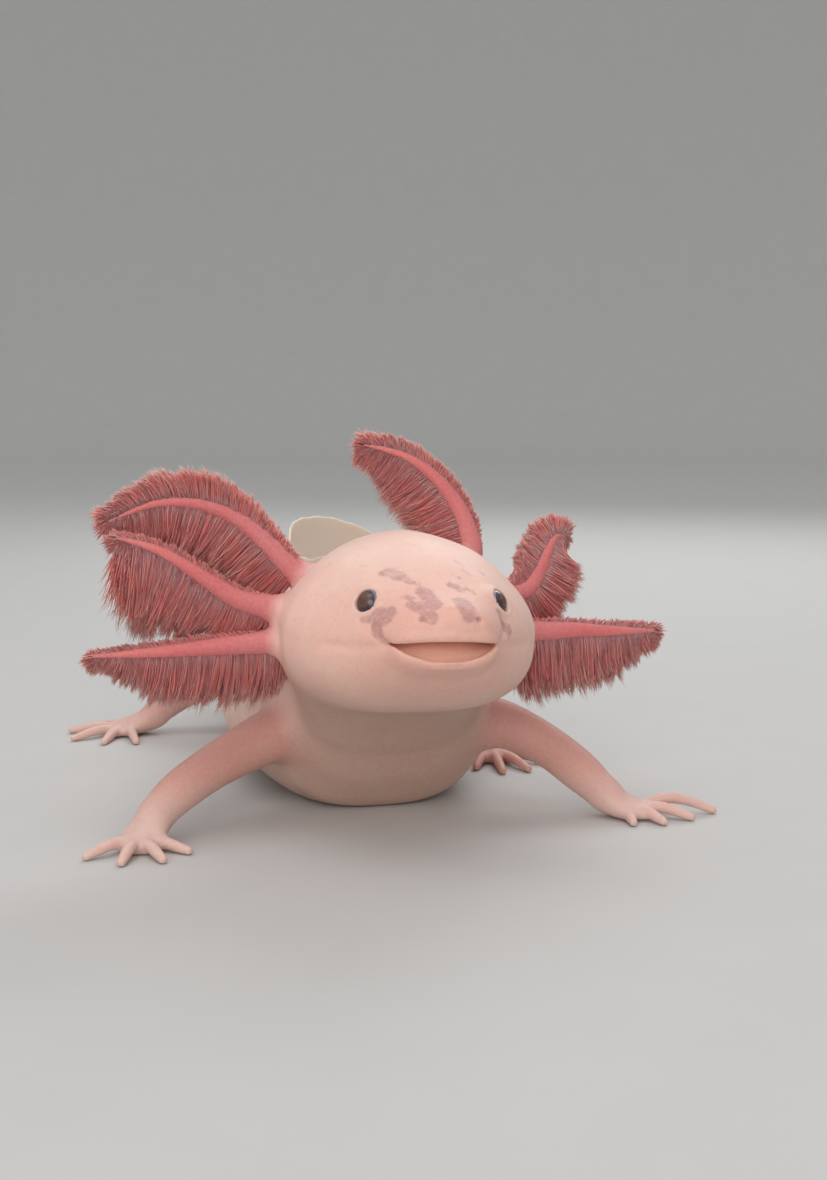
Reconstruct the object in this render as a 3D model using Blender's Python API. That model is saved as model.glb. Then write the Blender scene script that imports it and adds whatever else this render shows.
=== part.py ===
"""Axolotl, a still life-size model standing on its front legs with the belly on the floor.

Metres, +Z up.  The animal faces -Y, +X is its left side, and the origin is the middle of the flat that
the belly makes on the floor.  Sizes below are in millimetres and are scaled by MM where a mesh is made.
"""
import math

import bpy
import bmesh
from mathutils import Vector

MM = 0.001
GAP = 0.3  # between neighbouring sub-parts

# ---------------------------------------------------------------- the body along its length
# distance from the snout tip, half width, top, bottom, height of the widest line (share of the depth)
BODY = (
    (0.0, 3.2, 39.6, 33.8, 0.52),
    (0.8, 5.2, 40.3, 32.5, 0.51),
    (2.0, 6.9, 40.8, 31.1, 0.50),
    (4.0, 8.6, 41.2, 29.5, 0.49),
    (6.5, 10.6, 41.9, 27.8, 0.48),
    (10.0, 13.4, 43.4, 25.6, 0.47),
    (14.0, 16.3, 45.4, 23.5, 0.47),
    (19.0, 18.8, 47.4, 21.8, 0.48),
    (24.0, 20.2, 48.7, 20.8, 0.48),
    (28.0, 20.2, 49.2, 19.5, 0.51),
    (32.0, 18.8, 49.1, 16.4, 0.54),
    (36.0, 17.2, 47.9, 11.4, 0.54),
    (40.0, 17.2, 46.0, 5.2, 0.49),
    (45.0, 19.0, 43.4, 0.2, 0.45),
    (52.0, 21.2, 41.0, -0.8, 0.42),
    (62.0, 22.8, 39.4, -1.0, 0.42),
    (74.0, 23.4, 38.6, -1.0, 0.42),
    (88.0, 22.6, 37.0, -0.9, 0.42),
    (100.0, 19.6, 34.8, -0.5, 0.44),
    (110.0, 15.6, 32.6, 1.0, 0.47),
    (118.0, 12.2, 30.9, 2.8, 0.50),
    (128.0, 9.4, 29.2, 5.8, 0.52),
    (141.0, 7.4, 28.0, 8.8, 0.52),
    (156.0, 5.8, 27.0, 11.6, 0.52),
    (174.0, 4.2, 25.8, 14.2, 0.52),
    (192.0, 2.9, 24.2, 16.4, 0.50),
    (208.0, 1.8, 22.4, 18.2, 0.50),
    (220.0, 1.0, 21.0, 19.4, 0.50),
)
# distance from the snout tip, rise of the fin above the back
BACK_FIN = ((42.0, 0.9), (53.0, 1.8), (74.0, 2.3), (94.0, 3.0), (110.0, 4.2), (122.0, 5.6), (136.0, 7.4),
            (147.0, 9.6), (160.0, 13.0), (172.0, 15.2), (186.0, 15.4), (200.0, 12.4), (211.0, 7.2),
            (219.0, 1.8))
# distance from the snout tip, drop of the fin below the tail
LOWER_FIN = ((121.0, 0.9), (132.0, 3.4), (146.0, 6.6), (161.0, 9.2), (176.0, 9.9), (191.0, 8.2), (204.0, 5.4),
             (214.0, 2.6), (219.0, 1.2))
FIN_BASE_HALF = 1.1
FIN_EDGE_HALF = 0.4

SNOUT_Y = -72.0
TURN_START = 140.0  # the tail leaves the straight line of the trunk here
TURN_RATE = math.radians(1.0)  # and turns to the animal's left by this much for each millimetre
HEAD_ROLL = math.radians(2.0)  # the head leans to the animal's left, about a line at ROLL_Z, and
ROLL_Z = 35.0  # straightens up again between ROLL_FROM and ROLL_TO
ROLL_FROM = 22.0
ROLL_TO = 44.0
FULL_UPPER = 2.05  # roundness of the section above and below its widest line (2 is an ellipse)
SLOPED_UPPER = 1.7  # over the widest part of the head
FULL_HEAD_LOWER = 2.8
FULL_TRUNK_LOWER = 2.7
FULL_TAIL = 2.0
BODY_SEGMENTS = 26

HEAD_END = 31.5
NECK_END = 44.0
TRUNK_END = 114.0
TAIL_MID = 158.0
TAIL_TIP = 220.0

# ---------------------------------------------------------------- mouth and eyes
MOUTH_Z = 35.7
MOUTH_HALF = 8.0
MOUTH_OPEN = 2.7
MOUTH_SHAPE = 2.7  # 2 makes the lower lip an even curve, more makes its middle flatter
JAW_LENGTH = 12.5
LIP_DROP = 0.8  # the corners of the mouth lie lower by this much

EYE_S = 10.2
EYE_ANGLE = math.radians(43.8)
EYE_R = 2.2
EYE_SHOWS = 0.95  # height of the eyeball's cap outside the skin

# ---------------------------------------------------------------- limbs: x, y, z, radius (left side is +X)
ARM_LEFT = ((13.5, -27.0, 14.5, 4.8), (18.6, -28.2, 14.2, 4.6), (23.0, -29.6, 13.2, 4.0),
            (28.5, -33.2, 10.2, 3.6), (32.4, -37.6, 6.9, 3.5), (34.6, -40.6, 4.6, 3.0),
            (35.6, -42.0, 3.6, 2.6))
ARM_RIGHT = ((-13.5, -27.0, 14.5, 4.8), (-18.6, -28.4, 14.0, 4.6), (-24.5, -31.0, 12.2, 4.0),
             (-30.5, -34.4, 10.0, 3.6), (-35.5, -37.6, 7.6, 3.4), (-38.6, -39.6, 5.4, 3.0),
             (-39.8, -40.6, 4.2, 2.6))
LEG_LEFT = ((11.0, 37.0, 15.0, 5.2), (16.0, 34.5, 14.0, 5.2), (21.5, 27.5, 11.8, 4.4), (25.8, 19.0, 8.6, 3.6),
            (27.4, 12.0, 5.8, 3.0), (27.9, 7.4, 3.8, 2.5))
LEG_RIGHT = ((-10.0, 35.0, 15.0, 5.2), (-15.0, 36.5, 14.2, 5.2), (-21.5, 38.4, 12.2, 4.4),
             (-27.4, 40.0, 9.2, 3.6), (-31.6, 41.0, 5.9, 3.0), (-33.6, 41.4, 4.0, 2.5))
# palm: x, y, z, half width, half height, from past the wrist to the knuckles
HAND_LEFT = ((37.2, -43.2, 2.3, 3.4, 2.2), (39.0, -44.0, 1.5, 3.9, 1.7), (41.2, -44.6, 1.1, 3.3, 1.2))
HAND_RIGHT = ((-41.0, -42.0, 2.7, 3.4, 2.3), (-41.9, -43.4, 1.6, 4.0, 1.7), (-42.6, -45.2, 1.1, 3.3, 1.2))
FOOT_LEFT = ((28.4, 4.6, 2.4, 3.6, 2.1), (28.9, 1.6, 1.5, 4.4, 1.6), (29.6, -1.2, 1.1, 3.8, 1.2))
FOOT_RIGHT = ((-36.2, 41.8, 2.5, 3.6, 2.2), (-39.0, 42.0, 1.5, 4.4, 1.6), (-41.6, 41.8, 1.1, 3.8, 1.2))
# digits: x and y of the root, x and y of the tip, height of the arch between them
DIGITS = {
    "hand_left": ((38.0, -44.4, 37.6, -49.4, 1.4), (40.0, -44.8, 42.6, -50.2, 1.6),
                  (41.0, -44.6, 48.2, -48.6, 2.0), (41.0, -43.4, 53.6, -45.4, 3.0)),
    "hand_right": ((-40.4, -43.4, -35.2, -47.6, 1.4), (-41.8, -45.0, -39.4, -51.2, 1.6),
                   (-43.0, -45.0, -45.6, -51.2, 1.8), (-43.6, -43.6, -50.6, -46.8, 1.8)),
    "foot_left": ((27.0, 0.6, 23.2, -6.4, 1.4), (28.4, -0.8, 27.2, -10.6, 1.5),
                  (30.0, -1.0, 32.4, -10.2, 1.6), (31.4, 0.4, 37.4, -5.6, 1.6), (31.6, 2.4, 38.6, 1.0, 1.4)),
    "foot_right": ((-39.0, 40.2, -38.2, 31.4, 1.4), (-41.2, 40.6, -44.6, 32.6, 1.5),
                   (-42.2, 41.6, -50.4, 37.8, 1.6), (-41.6, 43.4, -50.8, 45.6, 1.6),
                   (-39.4, 44.0, -44.6, 50.8, 1.4)),
}
DIGIT_ROOT_R = 1.15
DIGIT_TIP_R = 0.7

# ---------------------------------------------------------------- gills
# path points (the first is inside the neck), which side the long fringe is on, then for each side of the
# fringe how far it reaches at the root, the middle and the tip, and how much it leans back
GILLS = {
    "gill_right_lower": (
        ((-14.0, -39.6, 31.6), (-19.5, -41.6, 31.8), (-29.0, -42.4, 31.5), (-39.0, -41.2, 30.8),
         (-48.4, -39.0, 30.2)),
        1.0, (10.0, 9.2, 3.2, 0.25), (1.4, 1.6, 1.2, 1.0)),
    "gill_right_middle": (
        ((-14.0, -38.2, 36.6), (-19.0, -40.0, 36.9), (-25.8, -40.8, 38.4), (-31.8, -40.4, 42.4),
         (-38.2, -39.8, 46.6), (-44.4, -39.0, 48.6)),
        1.0, (6.5, 13.2, 16.8, 0.3), (1.4, 1.8, 1.4, 0.9)),
    "gill_right_upper": (
        ((-12.5, -35.4, 40.0), (-17.2, -36.2, 43.0), (-20.8, -36.0, 47.0), (-24.6, -35.2, 50.4),
         (-30.6, -34.2, 53.2), (-38.0, -33.4, 53.6), (-45.6, -32.6, 50.6)),
        -1.0, (3.6, 8.0, 4.6, 0.25), (10.0, 10.5, 4.0, 0.1)),
    "gill_left_lower": (
        ((14.0, -39.6, 31.2), (20.0, -41.8, 31.8), (28.0, -42.6, 32.0), (36.0, -42.2, 31.6),
         (44.0, -41.0, 31.2)),
        -1.0, (12.0, 10.6, 4.4, 0.25), (1.4, 1.8, 2.2, 1.0)),
    "gill_left_middle": (
        ((13.0, -36.8, 37.0), (18.2, -38.0, 37.4), (22.8, -37.4, 38.6), (25.4, -36.2, 41.8),
         (27.4, -34.4, 45.0), (29.8, -31.8, 46.8), (32.4, -29.2, 46.2)),
        -1.0, (9.0, 9.5, 5.5, 0.2), (3.0, 5.0, 4.4, 0.3)),
    "gill_left_upper": (
        ((10.0, -35.0, 40.4), (13.4, -35.4, 43.8), (13.0, -34.4, 48.4), (11.2, -33.2, 53.0),
         (7.6, -31.8, 57.6), (3.0, -30.6, 60.8), (-3.0, -29.4, 62.4)),
        1.0, (10.5, 9.8, 4.8, 0.3), (1.6, 2.6, 3.4, 0.4)),
}
STALK_BASE_R = 2.5
STALK_TIP_R = 0.7
FRINGE_HALF = 0.35
FRINGE_FROM = 0.2  # share of the stalk's length that is bare
GILL_RINGS = 15
ARC_POINTS = 5

COLOURS = {
    "skin": ((0.78, 0.58, 0.50), 0.45),
    "belly_skin": ((0.74, 0.55, 0.48), 0.45),
    "fin": ((0.76, 0.66, 0.57), 0.42),
    "gill": ((0.52, 0.12, 0.11), 0.42),
    "eye": ((0.02, 0.02, 0.03), 0.08),
}


# ---------------------------------------------------------------- small helpers
def curve_value(table, s, column):
    """A smooth line through the table's points that never swings past them."""
    rows = [(row[0], row[column]) for row in table]
    if s <= rows[0][0]:
        return rows[0][1]
    if s >= rows[-1][0]:
        return rows[-1][1]
    k = max(i for i in range(len(rows) - 1) if rows[i][0] <= s)
    step = rows[k + 1][0] - rows[k][0]
    slopes = []
    for i in (k, k + 1):
        if i == 0 or i == len(rows) - 1:
            j = min(i, len(rows) - 2)
            slopes.append((rows[j + 1][1] - rows[j][1]) / (rows[j + 1][0] - rows[j][0]))
            continue
        before = (rows[i][1] - rows[i - 1][1]) / (rows[i][0] - rows[i - 1][0])
        after = (rows[i + 1][1] - rows[i][1]) / (rows[i + 1][0] - rows[i][0])
        slopes.append(0.0 if before * after <= 0 else 2.0 * before * after / (before + after))
    t = (s - rows[k][0]) / step
    rise = rows[k + 1][1] - rows[k][1]
    return (rows[k][1] + step * slopes[0] * t * (1 - t) ** 2 + rise * t * t * (3 - 2 * t)
            - step * slopes[1] * t * t * (1 - t))


def blend(a, b, t):
    t = min(1.0, max(0.0, t))
    return a + (b - a) * t * t * (3 - 2 * t)


def rolled(s, x, z):
    """The head's lean to one side."""
    angle = blend(HEAD_ROLL, 0.0, (s - ROLL_FROM) / (ROLL_TO - ROLL_FROM))
    rise = z - ROLL_Z
    return x * math.cos(angle) + rise * math.sin(angle), ROLL_Z + rise * math.cos(angle) - x * math.sin(angle)


def posed(s, x, z):
    """Where a point of the straight animal comes to lie once the head leans and the tail is turned."""
    x, z = rolled(s, x, z)
    past = max(0.0, s - TURN_START)
    turn = past * TURN_RATE
    axis_x = (1 - math.cos(turn)) / TURN_RATE
    axis_y = SNOUT_Y + min(s, TURN_START) + math.sin(turn) / TURN_RATE
    return Vector((axis_x + x * math.cos(turn), axis_y - x * math.sin(turn), max(z, 0.0)))


def section_point(s, angle, grow=0.0):
    """Half width and height of the skin at an angle round the body (0 is the animal's left side)."""
    half = curve_value(BODY, s, 1) + grow
    top = curve_value(BODY, s, 2) + grow
    bottom = curve_value(BODY, s, 3) - grow
    middle = bottom + (top - bottom) * curve_value(BODY, s, 4)
    lower = blend(FULL_HEAD_LOWER, FULL_TRUNK_LOWER, (s - 36.0) / 20.0)
    lower = blend(lower, FULL_TAIL, (s - 100.0) / 30.0)
    upper = blend(FULL_UPPER, SLOPED_UPPER, (s - 11.0) / 8.0)
    upper = blend(upper, FULL_UPPER, (s - 28.0) / 10.0)
    upper = blend(upper, FULL_TAIL, (s - 100.0) / 30.0)
    power = upper if math.sin(angle) >= 0 else lower
    x = half * math.copysign(abs(math.cos(angle)) ** (2.0 / power), math.cos(angle))
    rise = abs(math.sin(angle)) ** (2.0 / power)
    z = middle + (top - middle) * rise if math.sin(angle) >= 0 else middle - (middle - bottom) * rise
    return x, z


def body_ring(s, grow=0.0, segments=BODY_SEGMENTS):
    ring = []
    for k in range(segments):
        x, z = section_point(s, 2 * math.pi * (k + 0.5) / segments, grow)
        ring.append(posed(s, x, z))
    return ring


def body_normal(s, angle):
    step = 0.2
    here = posed(s, *section_point(s, angle))
    ahead = posed(s + step, *section_point(s + step, angle))
    along = ahead - posed(s - step, *section_point(s - step, angle))
    around = posed(s, *section_point(s, angle + 0.02)) - posed(s, *section_point(s, angle - 0.02))
    normal = around.cross(along).normalized()
    outward = here - posed(s, 0.0, (section_point(s, math.pi / 2)[1] + section_point(s, -math.pi / 2)[1]) / 2)
    return here, normal if normal.dot(outward) > 0 else -normal


def spaced(start, end, count):
    return [start + (end - start) * k / (count - 1) for k in range(count)]


def material_for(name, kind):
    colour, roughness = COLOURS[kind]
    material = bpy.data.materials.new(name + "_material")
    material.use_nodes = True
    shader = material.node_tree.nodes["Principled BSDF"]
    shader.inputs["Base Color"].default_value = (*colour, 1.0)
    shader.inputs["Roughness"].default_value = roughness
    shader.inputs["Metallic"].default_value = 0.0
    return material


def add_object(name, bm, centre, kind=None):
    """One object from a mesh in millimetres, with its origin at centre."""
    bmesh.ops.recalc_face_normals(bm, faces=bm.faces)
    bmesh.ops.translate(bm, verts=bm.verts, vec=-Vector(centre))
    bmesh.ops.scale(bm, verts=bm.verts, vec=(MM, MM, MM))
    mesh = bpy.data.meshes.new(name)
    bm.to_mesh(mesh)
    bm.free()
    obj = bpy.data.objects.new(name, mesh)
    bpy.context.scene.collection.objects.link(obj)
    obj.location = Vector(centre) * MM
    if kind is None:
        obj.hide_render = True
        obj.display_type = 'WIRE'
    else:
        obj.parent = root
        mesh.materials.append(material_for(name, kind))
        for polygon in mesh.polygons:
            polygon.use_smooth = True
    return obj


def loft(rings):
    """A closed body through rings of points, with flat ends."""
    bm = bmesh.new()
    loops = [[bm.verts.new(point) for point in ring] for ring in rings]
    count = len(rings[0])
    for first, second in zip(loops, loops[1:]):
        for k in range(count):
            bm.faces.new((first[k], first[(k + 1) % count], second[(k + 1) % count], second[k]))
    bm.faces.new(loops[0])
    bm.faces.new(reversed(loops[-1]))
    return bm


def combine(obj, other, operation):
    modifier = obj.modifiers.new(operation.lower() + "_" + other.name, 'BOOLEAN')
    modifier.operation = operation
    modifier.solver = 'EXACT'
    modifier.object = other


def path_point(points, t):
    """A smooth curve through control points of any number of values, t from 0 to 1."""
    spans = len(points) - 1
    k = min(int(t * spans), spans - 1)
    u = t * spans - k
    before = points[max(k - 1, 0)]
    after = points[min(k + 2, spans)]
    result = []
    for a, b, c, d in zip(before, points[k], points[k + 1], after):
        result.append(0.5 * (2 * b + (c - a) * u + (2 * a - 5 * b + 4 * c - d) * u * u
                             + (3 * b - a - 3 * c + d) * u ** 3))
    return result


def round_ring(centre, along, half_width, half_height, segments):
    """An ellipse square to a direction, its wide way kept level."""
    side = along.cross(Vector((0, 0, 1)))
    side = side.normalized() if side.length > 0.05 else Vector((1, 0, 0))
    up = side.cross(along).normalized()
    ring = []
    for k in range(segments):
        angle = 2 * math.pi * (k + 0.5) / segments
        point = centre + side * half_width * math.cos(angle) + up * half_height * math.sin(angle)
        ring.append(Vector((point.x, point.y, max(point.z, 0.0))))
    return ring


def heading(points, t):
    near = Vector(path_point(points, max(0.0, t - 0.01))[:3])
    return (Vector(path_point(points, min(1.0, t + 0.01))[:3]) - near).normalized()


def tube(points, steps, segments, round_end=False, first_heading=None):
    """A loft along control points (x, y, z, half width[, half height])."""
    rings = []
    for k in range(steps):
        t = k / (steps - 1)
        here = path_point(points, t)
        ahead = first_heading if first_heading and k == 0 else heading(points, t)
        rings.append(round_ring(Vector(here[:3]), ahead, here[3], here[-1], segments))
    if round_end:
        tip = Vector(here[:3])
        reach = here[-1]
        for share in (0.6,) if segments < 8 else (0.55, 0.9):
            width = math.sqrt(1 - share * share)
            place = tip + ahead * reach * share
            rings.append(round_ring(place, ahead, here[3] * width, here[-1] * width, segments))
    return loft(rings)


# ---------------------------------------------------------------- the sub-parts
def body_length(name, start, end, rings, kind):
    stations = rings if isinstance(rings, (tuple, list)) else spaced(start, end, rings)
    middle = (start + end) / 2
    top, bottom = section_point(middle, math.pi / 2)[1], section_point(middle, -math.pi / 2)[1]
    centre = posed(middle, 0.0, (top + bottom) / 2)
    return add_object(name, loft([body_ring(s) for s in stations]), centre, kind)


def mouth_line(x):
    return MOUTH_Z - LIP_DROP * min(1.0, abs(x) / MOUTH_HALF) ** 2


def mouth_gap(x):
    share = min(1.0, abs(x) / MOUTH_HALF)
    return max(GAP, MOUTH_OPEN * (1 - share ** MOUTH_SHAPE))


def mouth_block(name, lowered, back):
    """All that lies below one lip's edge and in front of a wall across the throat."""
    columns = spaced(-26.0, 26.0, 53)
    rings = []
    for x in columns:
        lip = mouth_line(x) - (mouth_gap(x) if lowered else 0.0)
        rings.append([posed(s, x, z) for s, z in ((-6.0, 5.0), (back, 5.0), (back, lip), (-6.0, lip))])
    return add_object(name, loft(rings), (0.0, SNOUT_Y, 20.0))


def build_head():
    stations = (0.0, 0.6, 1.4, 2.6, 4.2, 6.4, 9.0, 12.0, 15.5, 19.5, 23.5, 27.5, HEAD_END - GAP / 2)
    head = body_length("head", 0.0, HEAD_END - GAP / 2, stations, "skin")
    jaw = body_length("lower_jaw", 0.0, HEAD_END - GAP / 2, stations, "skin")
    combine(head, mouth_block("mouth_cutter", False, JAW_LENGTH + GAP), 'DIFFERENCE')
    combine(jaw, mouth_block("jaw_keeper", True, JAW_LENGTH), 'INTERSECT')
    for side, angle in (("left", EYE_ANGLE), ("right", math.pi - EYE_ANGLE)):
        surface, normal = body_normal(EYE_S, angle)
        centre = surface - normal * (EYE_R - EYE_SHOWS)
        for name, radius, kind in (("eye_" + side, EYE_R, "eye"), ("socket_" + side, EYE_R + GAP, None)):
            bm = bmesh.new()
            bmesh.ops.create_icosphere(bm, subdivisions=2, radius=radius)
            bmesh.ops.translate(bm, verts=bm.verts, vec=centre)
            ball = add_object(name, bm, centre, kind)
            if kind is None:
                combine(head, ball, 'DIFFERENCE')


def build_trunk():
    body_length("neck", HEAD_END + GAP / 2, NECK_END - GAP / 2, 6, "skin")
    body_length("trunk", NECK_END + GAP / 2, TRUNK_END - GAP / 2, 13, "belly_skin")
    body_length("tail_base", TRUNK_END + GAP / 2, TAIL_MID - GAP / 2, 8, "skin")
    body_length("tail_end", TAIL_MID + GAP / 2, TAIL_TIP, 8, "skin")


def build_fin(name, table, start, end, count, above):
    rings = []
    for s in spaced(start, end, count):
        edge = curve_value(BODY, s, 2 if above else 3)
        sign = 1.0 if above else -1.0
        foot = edge + sign * GAP
        tip = edge + sign * max(curve_value(table, s, 1), 0.8)
        shoulder = foot + (tip - foot) * 0.75
        narrow = min(FIN_BASE_HALF, curve_value(BODY, s, 1) * 0.9)
        outline = ((narrow, foot), (FIN_EDGE_HALF, shoulder), (FIN_EDGE_HALF * 0.6, tip),
                   (-FIN_EDGE_HALF * 0.6, tip), (-FIN_EDGE_HALF, shoulder), (-narrow, foot))
        rings.append([posed(s, x, z) for x, z in outline])
    middle = (start + end) / 2
    edge = curve_value(BODY, middle, 2 if above else 3)
    return add_object(name, loft(rings), posed(middle, 0.0, edge), "fin")


def build_fins():
    build_fin("back_fin_front", BACK_FIN, BACK_FIN[0][0], TRUNK_END - GAP / 2, 15, True)
    build_fin("back_fin_middle", BACK_FIN, TRUNK_END + GAP / 2, TAIL_MID - GAP / 2, 11, True)
    build_fin("back_fin_end", BACK_FIN, TAIL_MID + GAP / 2, BACK_FIN[-1][0], 13, True)
    build_fin("lower_fin_middle", LOWER_FIN, LOWER_FIN[0][0], TAIL_MID - GAP / 2, 10, False)
    build_fin("lower_fin_end", LOWER_FIN, TAIL_MID + GAP / 2, LOWER_FIN[-1][0], 13, False)


def clearance_body():
    """The body from the cheeks to the tail, grown by the gap: it trims what is set against it."""
    stations = [18.0, 23.5, 27.5, 31.5, 34.0, 36.5, 39.0, 41.5, 44.0, 49.0, 54.0] + spaced(60.0, 130.0, 11)
    return add_object("body_clearance", loft([body_ring(s, GAP) for s in stations]), (0.0, 0.0, 20.0))


def digit_points(root_x, root_y, tip_x, tip_y, arch):
    points = []
    for share, height, radius in ((0.0, 1.1, DIGIT_ROOT_R), (0.35, arch, 1.0), (0.7, arch * 0.75, 0.85),
                                  (1.0, 0.62, DIGIT_TIP_R)):
        points.append((root_x + (tip_x - root_x) * share, root_y + (tip_y - root_y) * share, height, radius))
    return points


def build_limbs(clearance):
    for limb, end, limb_points, palm in (("arm_left", "hand_left", ARM_LEFT, HAND_LEFT),
                                         ("arm_right", "hand_right", ARM_RIGHT, HAND_RIGHT),
                                         ("leg_left", "foot_left", LEG_LEFT, FOOT_LEFT),
                                         ("leg_right", "foot_right", LEG_RIGHT, FOOT_RIGHT)):
        arm = add_object(limb, tube(limb_points, 9, 12), limb_points[1][:3], "skin")
        combine(arm, clearance, 'DIFFERENCE')
        forward = heading(limb_points, 1.0)
        wrist = Vector(limb_points[-1][:3]) + forward * GAP
        sole = ((*wrist, limb_points[-1][3], limb_points[-1][3]),) + palm
        hand = add_object(end, tube(sole, 6, 10, True, forward), palm[1][:3], "skin")
        for number, digit in enumerate(DIGITS[end]):
            bm = tube(digit_points(*digit), 5, 6, round_end=True)
            combine(hand, add_object(f"{end}_digit_{number + 1}", bm, (digit[0], digit[1], 1.0)), 'UNION')


def fringe_reach(t, root_reach, middle_reach, tip_reach):
    """How far a fringe reaches from the stalk's middle line, t running along the fringe from 0 to 1."""
    return blend(root_reach, middle_reach, t * 2) + blend(0.0, tip_reach - middle_reach, t * 2 - 1)


def gill_ring(centre, along, radius, ways, reaches):
    """A round stalk with a thin wing on each side, square to the stalk."""
    first = (ways[0] - along * ways[0].dot(along)).normalized()
    across = along.cross(first)
    turn = math.atan2(ways[1].dot(across), ways[1].dot(first)) % (2 * math.pi)
    notch = math.asin(FRINGE_HALF / radius)
    outline = []
    for start, end, reach, next_reach in ((0.0, turn, *reaches), (turn, 2 * math.pi, *reversed(reaches))):
        outline.append((reach, start, FRINGE_HALF))
        for k in range(ARC_POINTS):
            outline.append((radius, start + notch + (end - start - 2 * notch) * k / (ARC_POINTS - 1), 0.0))
        outline.append((next_reach, end, -FRINGE_HALF))
    ring = []
    for reach, angle, offset in outline:
        x = reach * math.cos(angle) - offset * math.sin(angle)
        y = reach * math.sin(angle) + offset * math.cos(angle)
        ring.append(centre + first * x + across * y)
    return ring


def build_gills(clearance):
    """Each gill is its stalk with two thin wings, whose toothed edges are where the filaments' tips are."""
    for name, (points, side, *edges) in GILLS.items():
        rings = []
        for k in range(GILL_RINGS):
            t = k / (GILL_RINGS - 1)
            along = heading(points, t)
            radius = STALK_BASE_R + (STALK_TIP_R - STALK_BASE_R) * t
            tooth = 1.0 if k % 2 else 0.82
            sideways = along.cross(Vector((0.0, side, 0.0))).normalized()
            reaches = []
            ways = []
            for sign, (*lengths, lean) in zip((1.0, -1.0), edges):
                grown = tooth * fringe_reach((t - FRINGE_FROM) / (1 - FRINGE_FROM), *lengths)
                grown = grown * blend(0.0, 1.0, (t - FRINGE_FROM + 0.07) / 0.14)
                reaches.append(max(radius + 0.1, grown))
                ways.append((sideways * sign + Vector((0.0, lean, 0.0))).normalized())
            rings.append(gill_ring(Vector(path_point(points, t)), along, radius, ways, reaches))
        gill = add_object(name, loft(rings), points[1], "gill")
        combine(gill, clearance, 'DIFFERENCE')


for old in list(bpy.data.objects):
    bpy.data.objects.remove(old, do_unlink=True)
root = bpy.data.objects.new("axolotl", None)
bpy.context.scene.collection.objects.link(root)
build_head()
build_trunk()
build_fins()
body_trim = clearance_body()
build_limbs(body_trim)
build_gills(body_trim)
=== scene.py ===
import math
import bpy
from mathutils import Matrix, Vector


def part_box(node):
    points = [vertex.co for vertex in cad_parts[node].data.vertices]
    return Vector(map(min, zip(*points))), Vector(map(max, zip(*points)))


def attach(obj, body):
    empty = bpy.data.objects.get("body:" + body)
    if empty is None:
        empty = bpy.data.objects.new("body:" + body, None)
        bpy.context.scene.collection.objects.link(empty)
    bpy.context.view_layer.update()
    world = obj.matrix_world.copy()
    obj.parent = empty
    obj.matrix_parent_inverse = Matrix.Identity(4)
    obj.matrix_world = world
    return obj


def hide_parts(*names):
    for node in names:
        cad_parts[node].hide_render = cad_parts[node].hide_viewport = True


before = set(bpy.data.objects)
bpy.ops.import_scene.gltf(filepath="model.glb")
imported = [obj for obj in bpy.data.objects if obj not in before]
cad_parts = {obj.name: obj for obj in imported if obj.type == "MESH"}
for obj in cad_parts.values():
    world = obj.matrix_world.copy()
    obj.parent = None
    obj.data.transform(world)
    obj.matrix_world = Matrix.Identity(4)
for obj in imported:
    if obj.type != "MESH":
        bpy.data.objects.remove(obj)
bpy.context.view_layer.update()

from concurrent.futures import ThreadPoolExecutor

import bpy
import numpy as np
from mathutils import Vector

MM = 0.001  # all sizes below are millimetres and are scaled when a mesh is made

# ---- the body, as in the solids
# distance from the snout tip, half width, top, bottom, height of the widest line (share of the depth)
BODY = (
    (0, 3.2, 39.6, 33.8, 0.52), (0.8, 5.2, 40.3, 32.5, 0.51), (2, 6.9, 40.8, 31.1, 0.5),
    (4, 8.6, 41.2, 29.5, 0.49), (6.5, 10.6, 41.9, 27.8, 0.48), (10, 13.4, 43.4, 25.6, 0.47),
    (14, 16.3, 45.4, 23.5, 0.47), (19, 18.8, 47.4, 21.8, 0.48), (24, 20.2, 48.7, 20.8, 0.48),
    (28, 20.2, 49.2, 19.5, 0.51), (32, 18.8, 49.1, 16.4, 0.54), (36, 17.2, 47.9, 11.4, 0.54),
    (40, 17.2, 46, 5.2, 0.49), (45, 19, 43.4, 0.2, 0.45), (52, 21.2, 41, -0.8, 0.42),
    (62, 22.8, 39.4, -1, 0.42), (74, 23.4, 38.6, -1, 0.42), (88, 22.6, 37, -0.9, 0.42),
    (100, 19.6, 34.8, -0.5, 0.44), (110, 15.6, 32.6, 1, 0.47), (118, 12.2, 30.9, 2.8, 0.5),
    (128, 9.4, 29.2, 5.8, 0.52), (141, 7.4, 28, 8.8, 0.52), (156, 5.8, 27, 11.6, 0.52),
    (174, 4.2, 25.8, 14.2, 0.52), (192, 2.9, 24.2, 16.4, 0.5), (208, 1.8, 22.4, 18.2, 0.5),
    (220, 1, 21, 19.4, 0.5))
BACK_FIN = (
    (36, -0.6), (42, 0.9), (53, 1.8), (74, 2.3), (94, 3), (110, 4.2), (122, 5.6), (136, 7.4), (147, 9.6),
    (160, 13), (172, 15.2), (186, 15.4), (200, 12.4), (211, 7.2), (219, 1.8), (221, 0.2))
LOWER_FIN = (
    (117, -0.6), (121, 0.9), (132, 3.4), (146, 6.6), (161, 9.2), (176, 9.9), (191, 8.2), (204, 5.4),
    (214, 2.6), (219, 1.2), (221, 0.2))
SNOUT_Y = -72.0
TURN_START = 140.0
TURN_RADIUS = 180.0 / math.pi
HEAD_ROLL = math.radians(2.0)
ROLL_Z = 35.0
ROLL_FROM = 22.0
ROLL_TO = 44.0
SNOUT_CAP = (-0.35, 1.6)  # where the rounding of the snout starts, and its length
SNOUT_PILE = 4.0  # how far back the closer distance is used
TAIL_CAP = (210.0, 10.6)  # the same for the tail's tip
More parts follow.
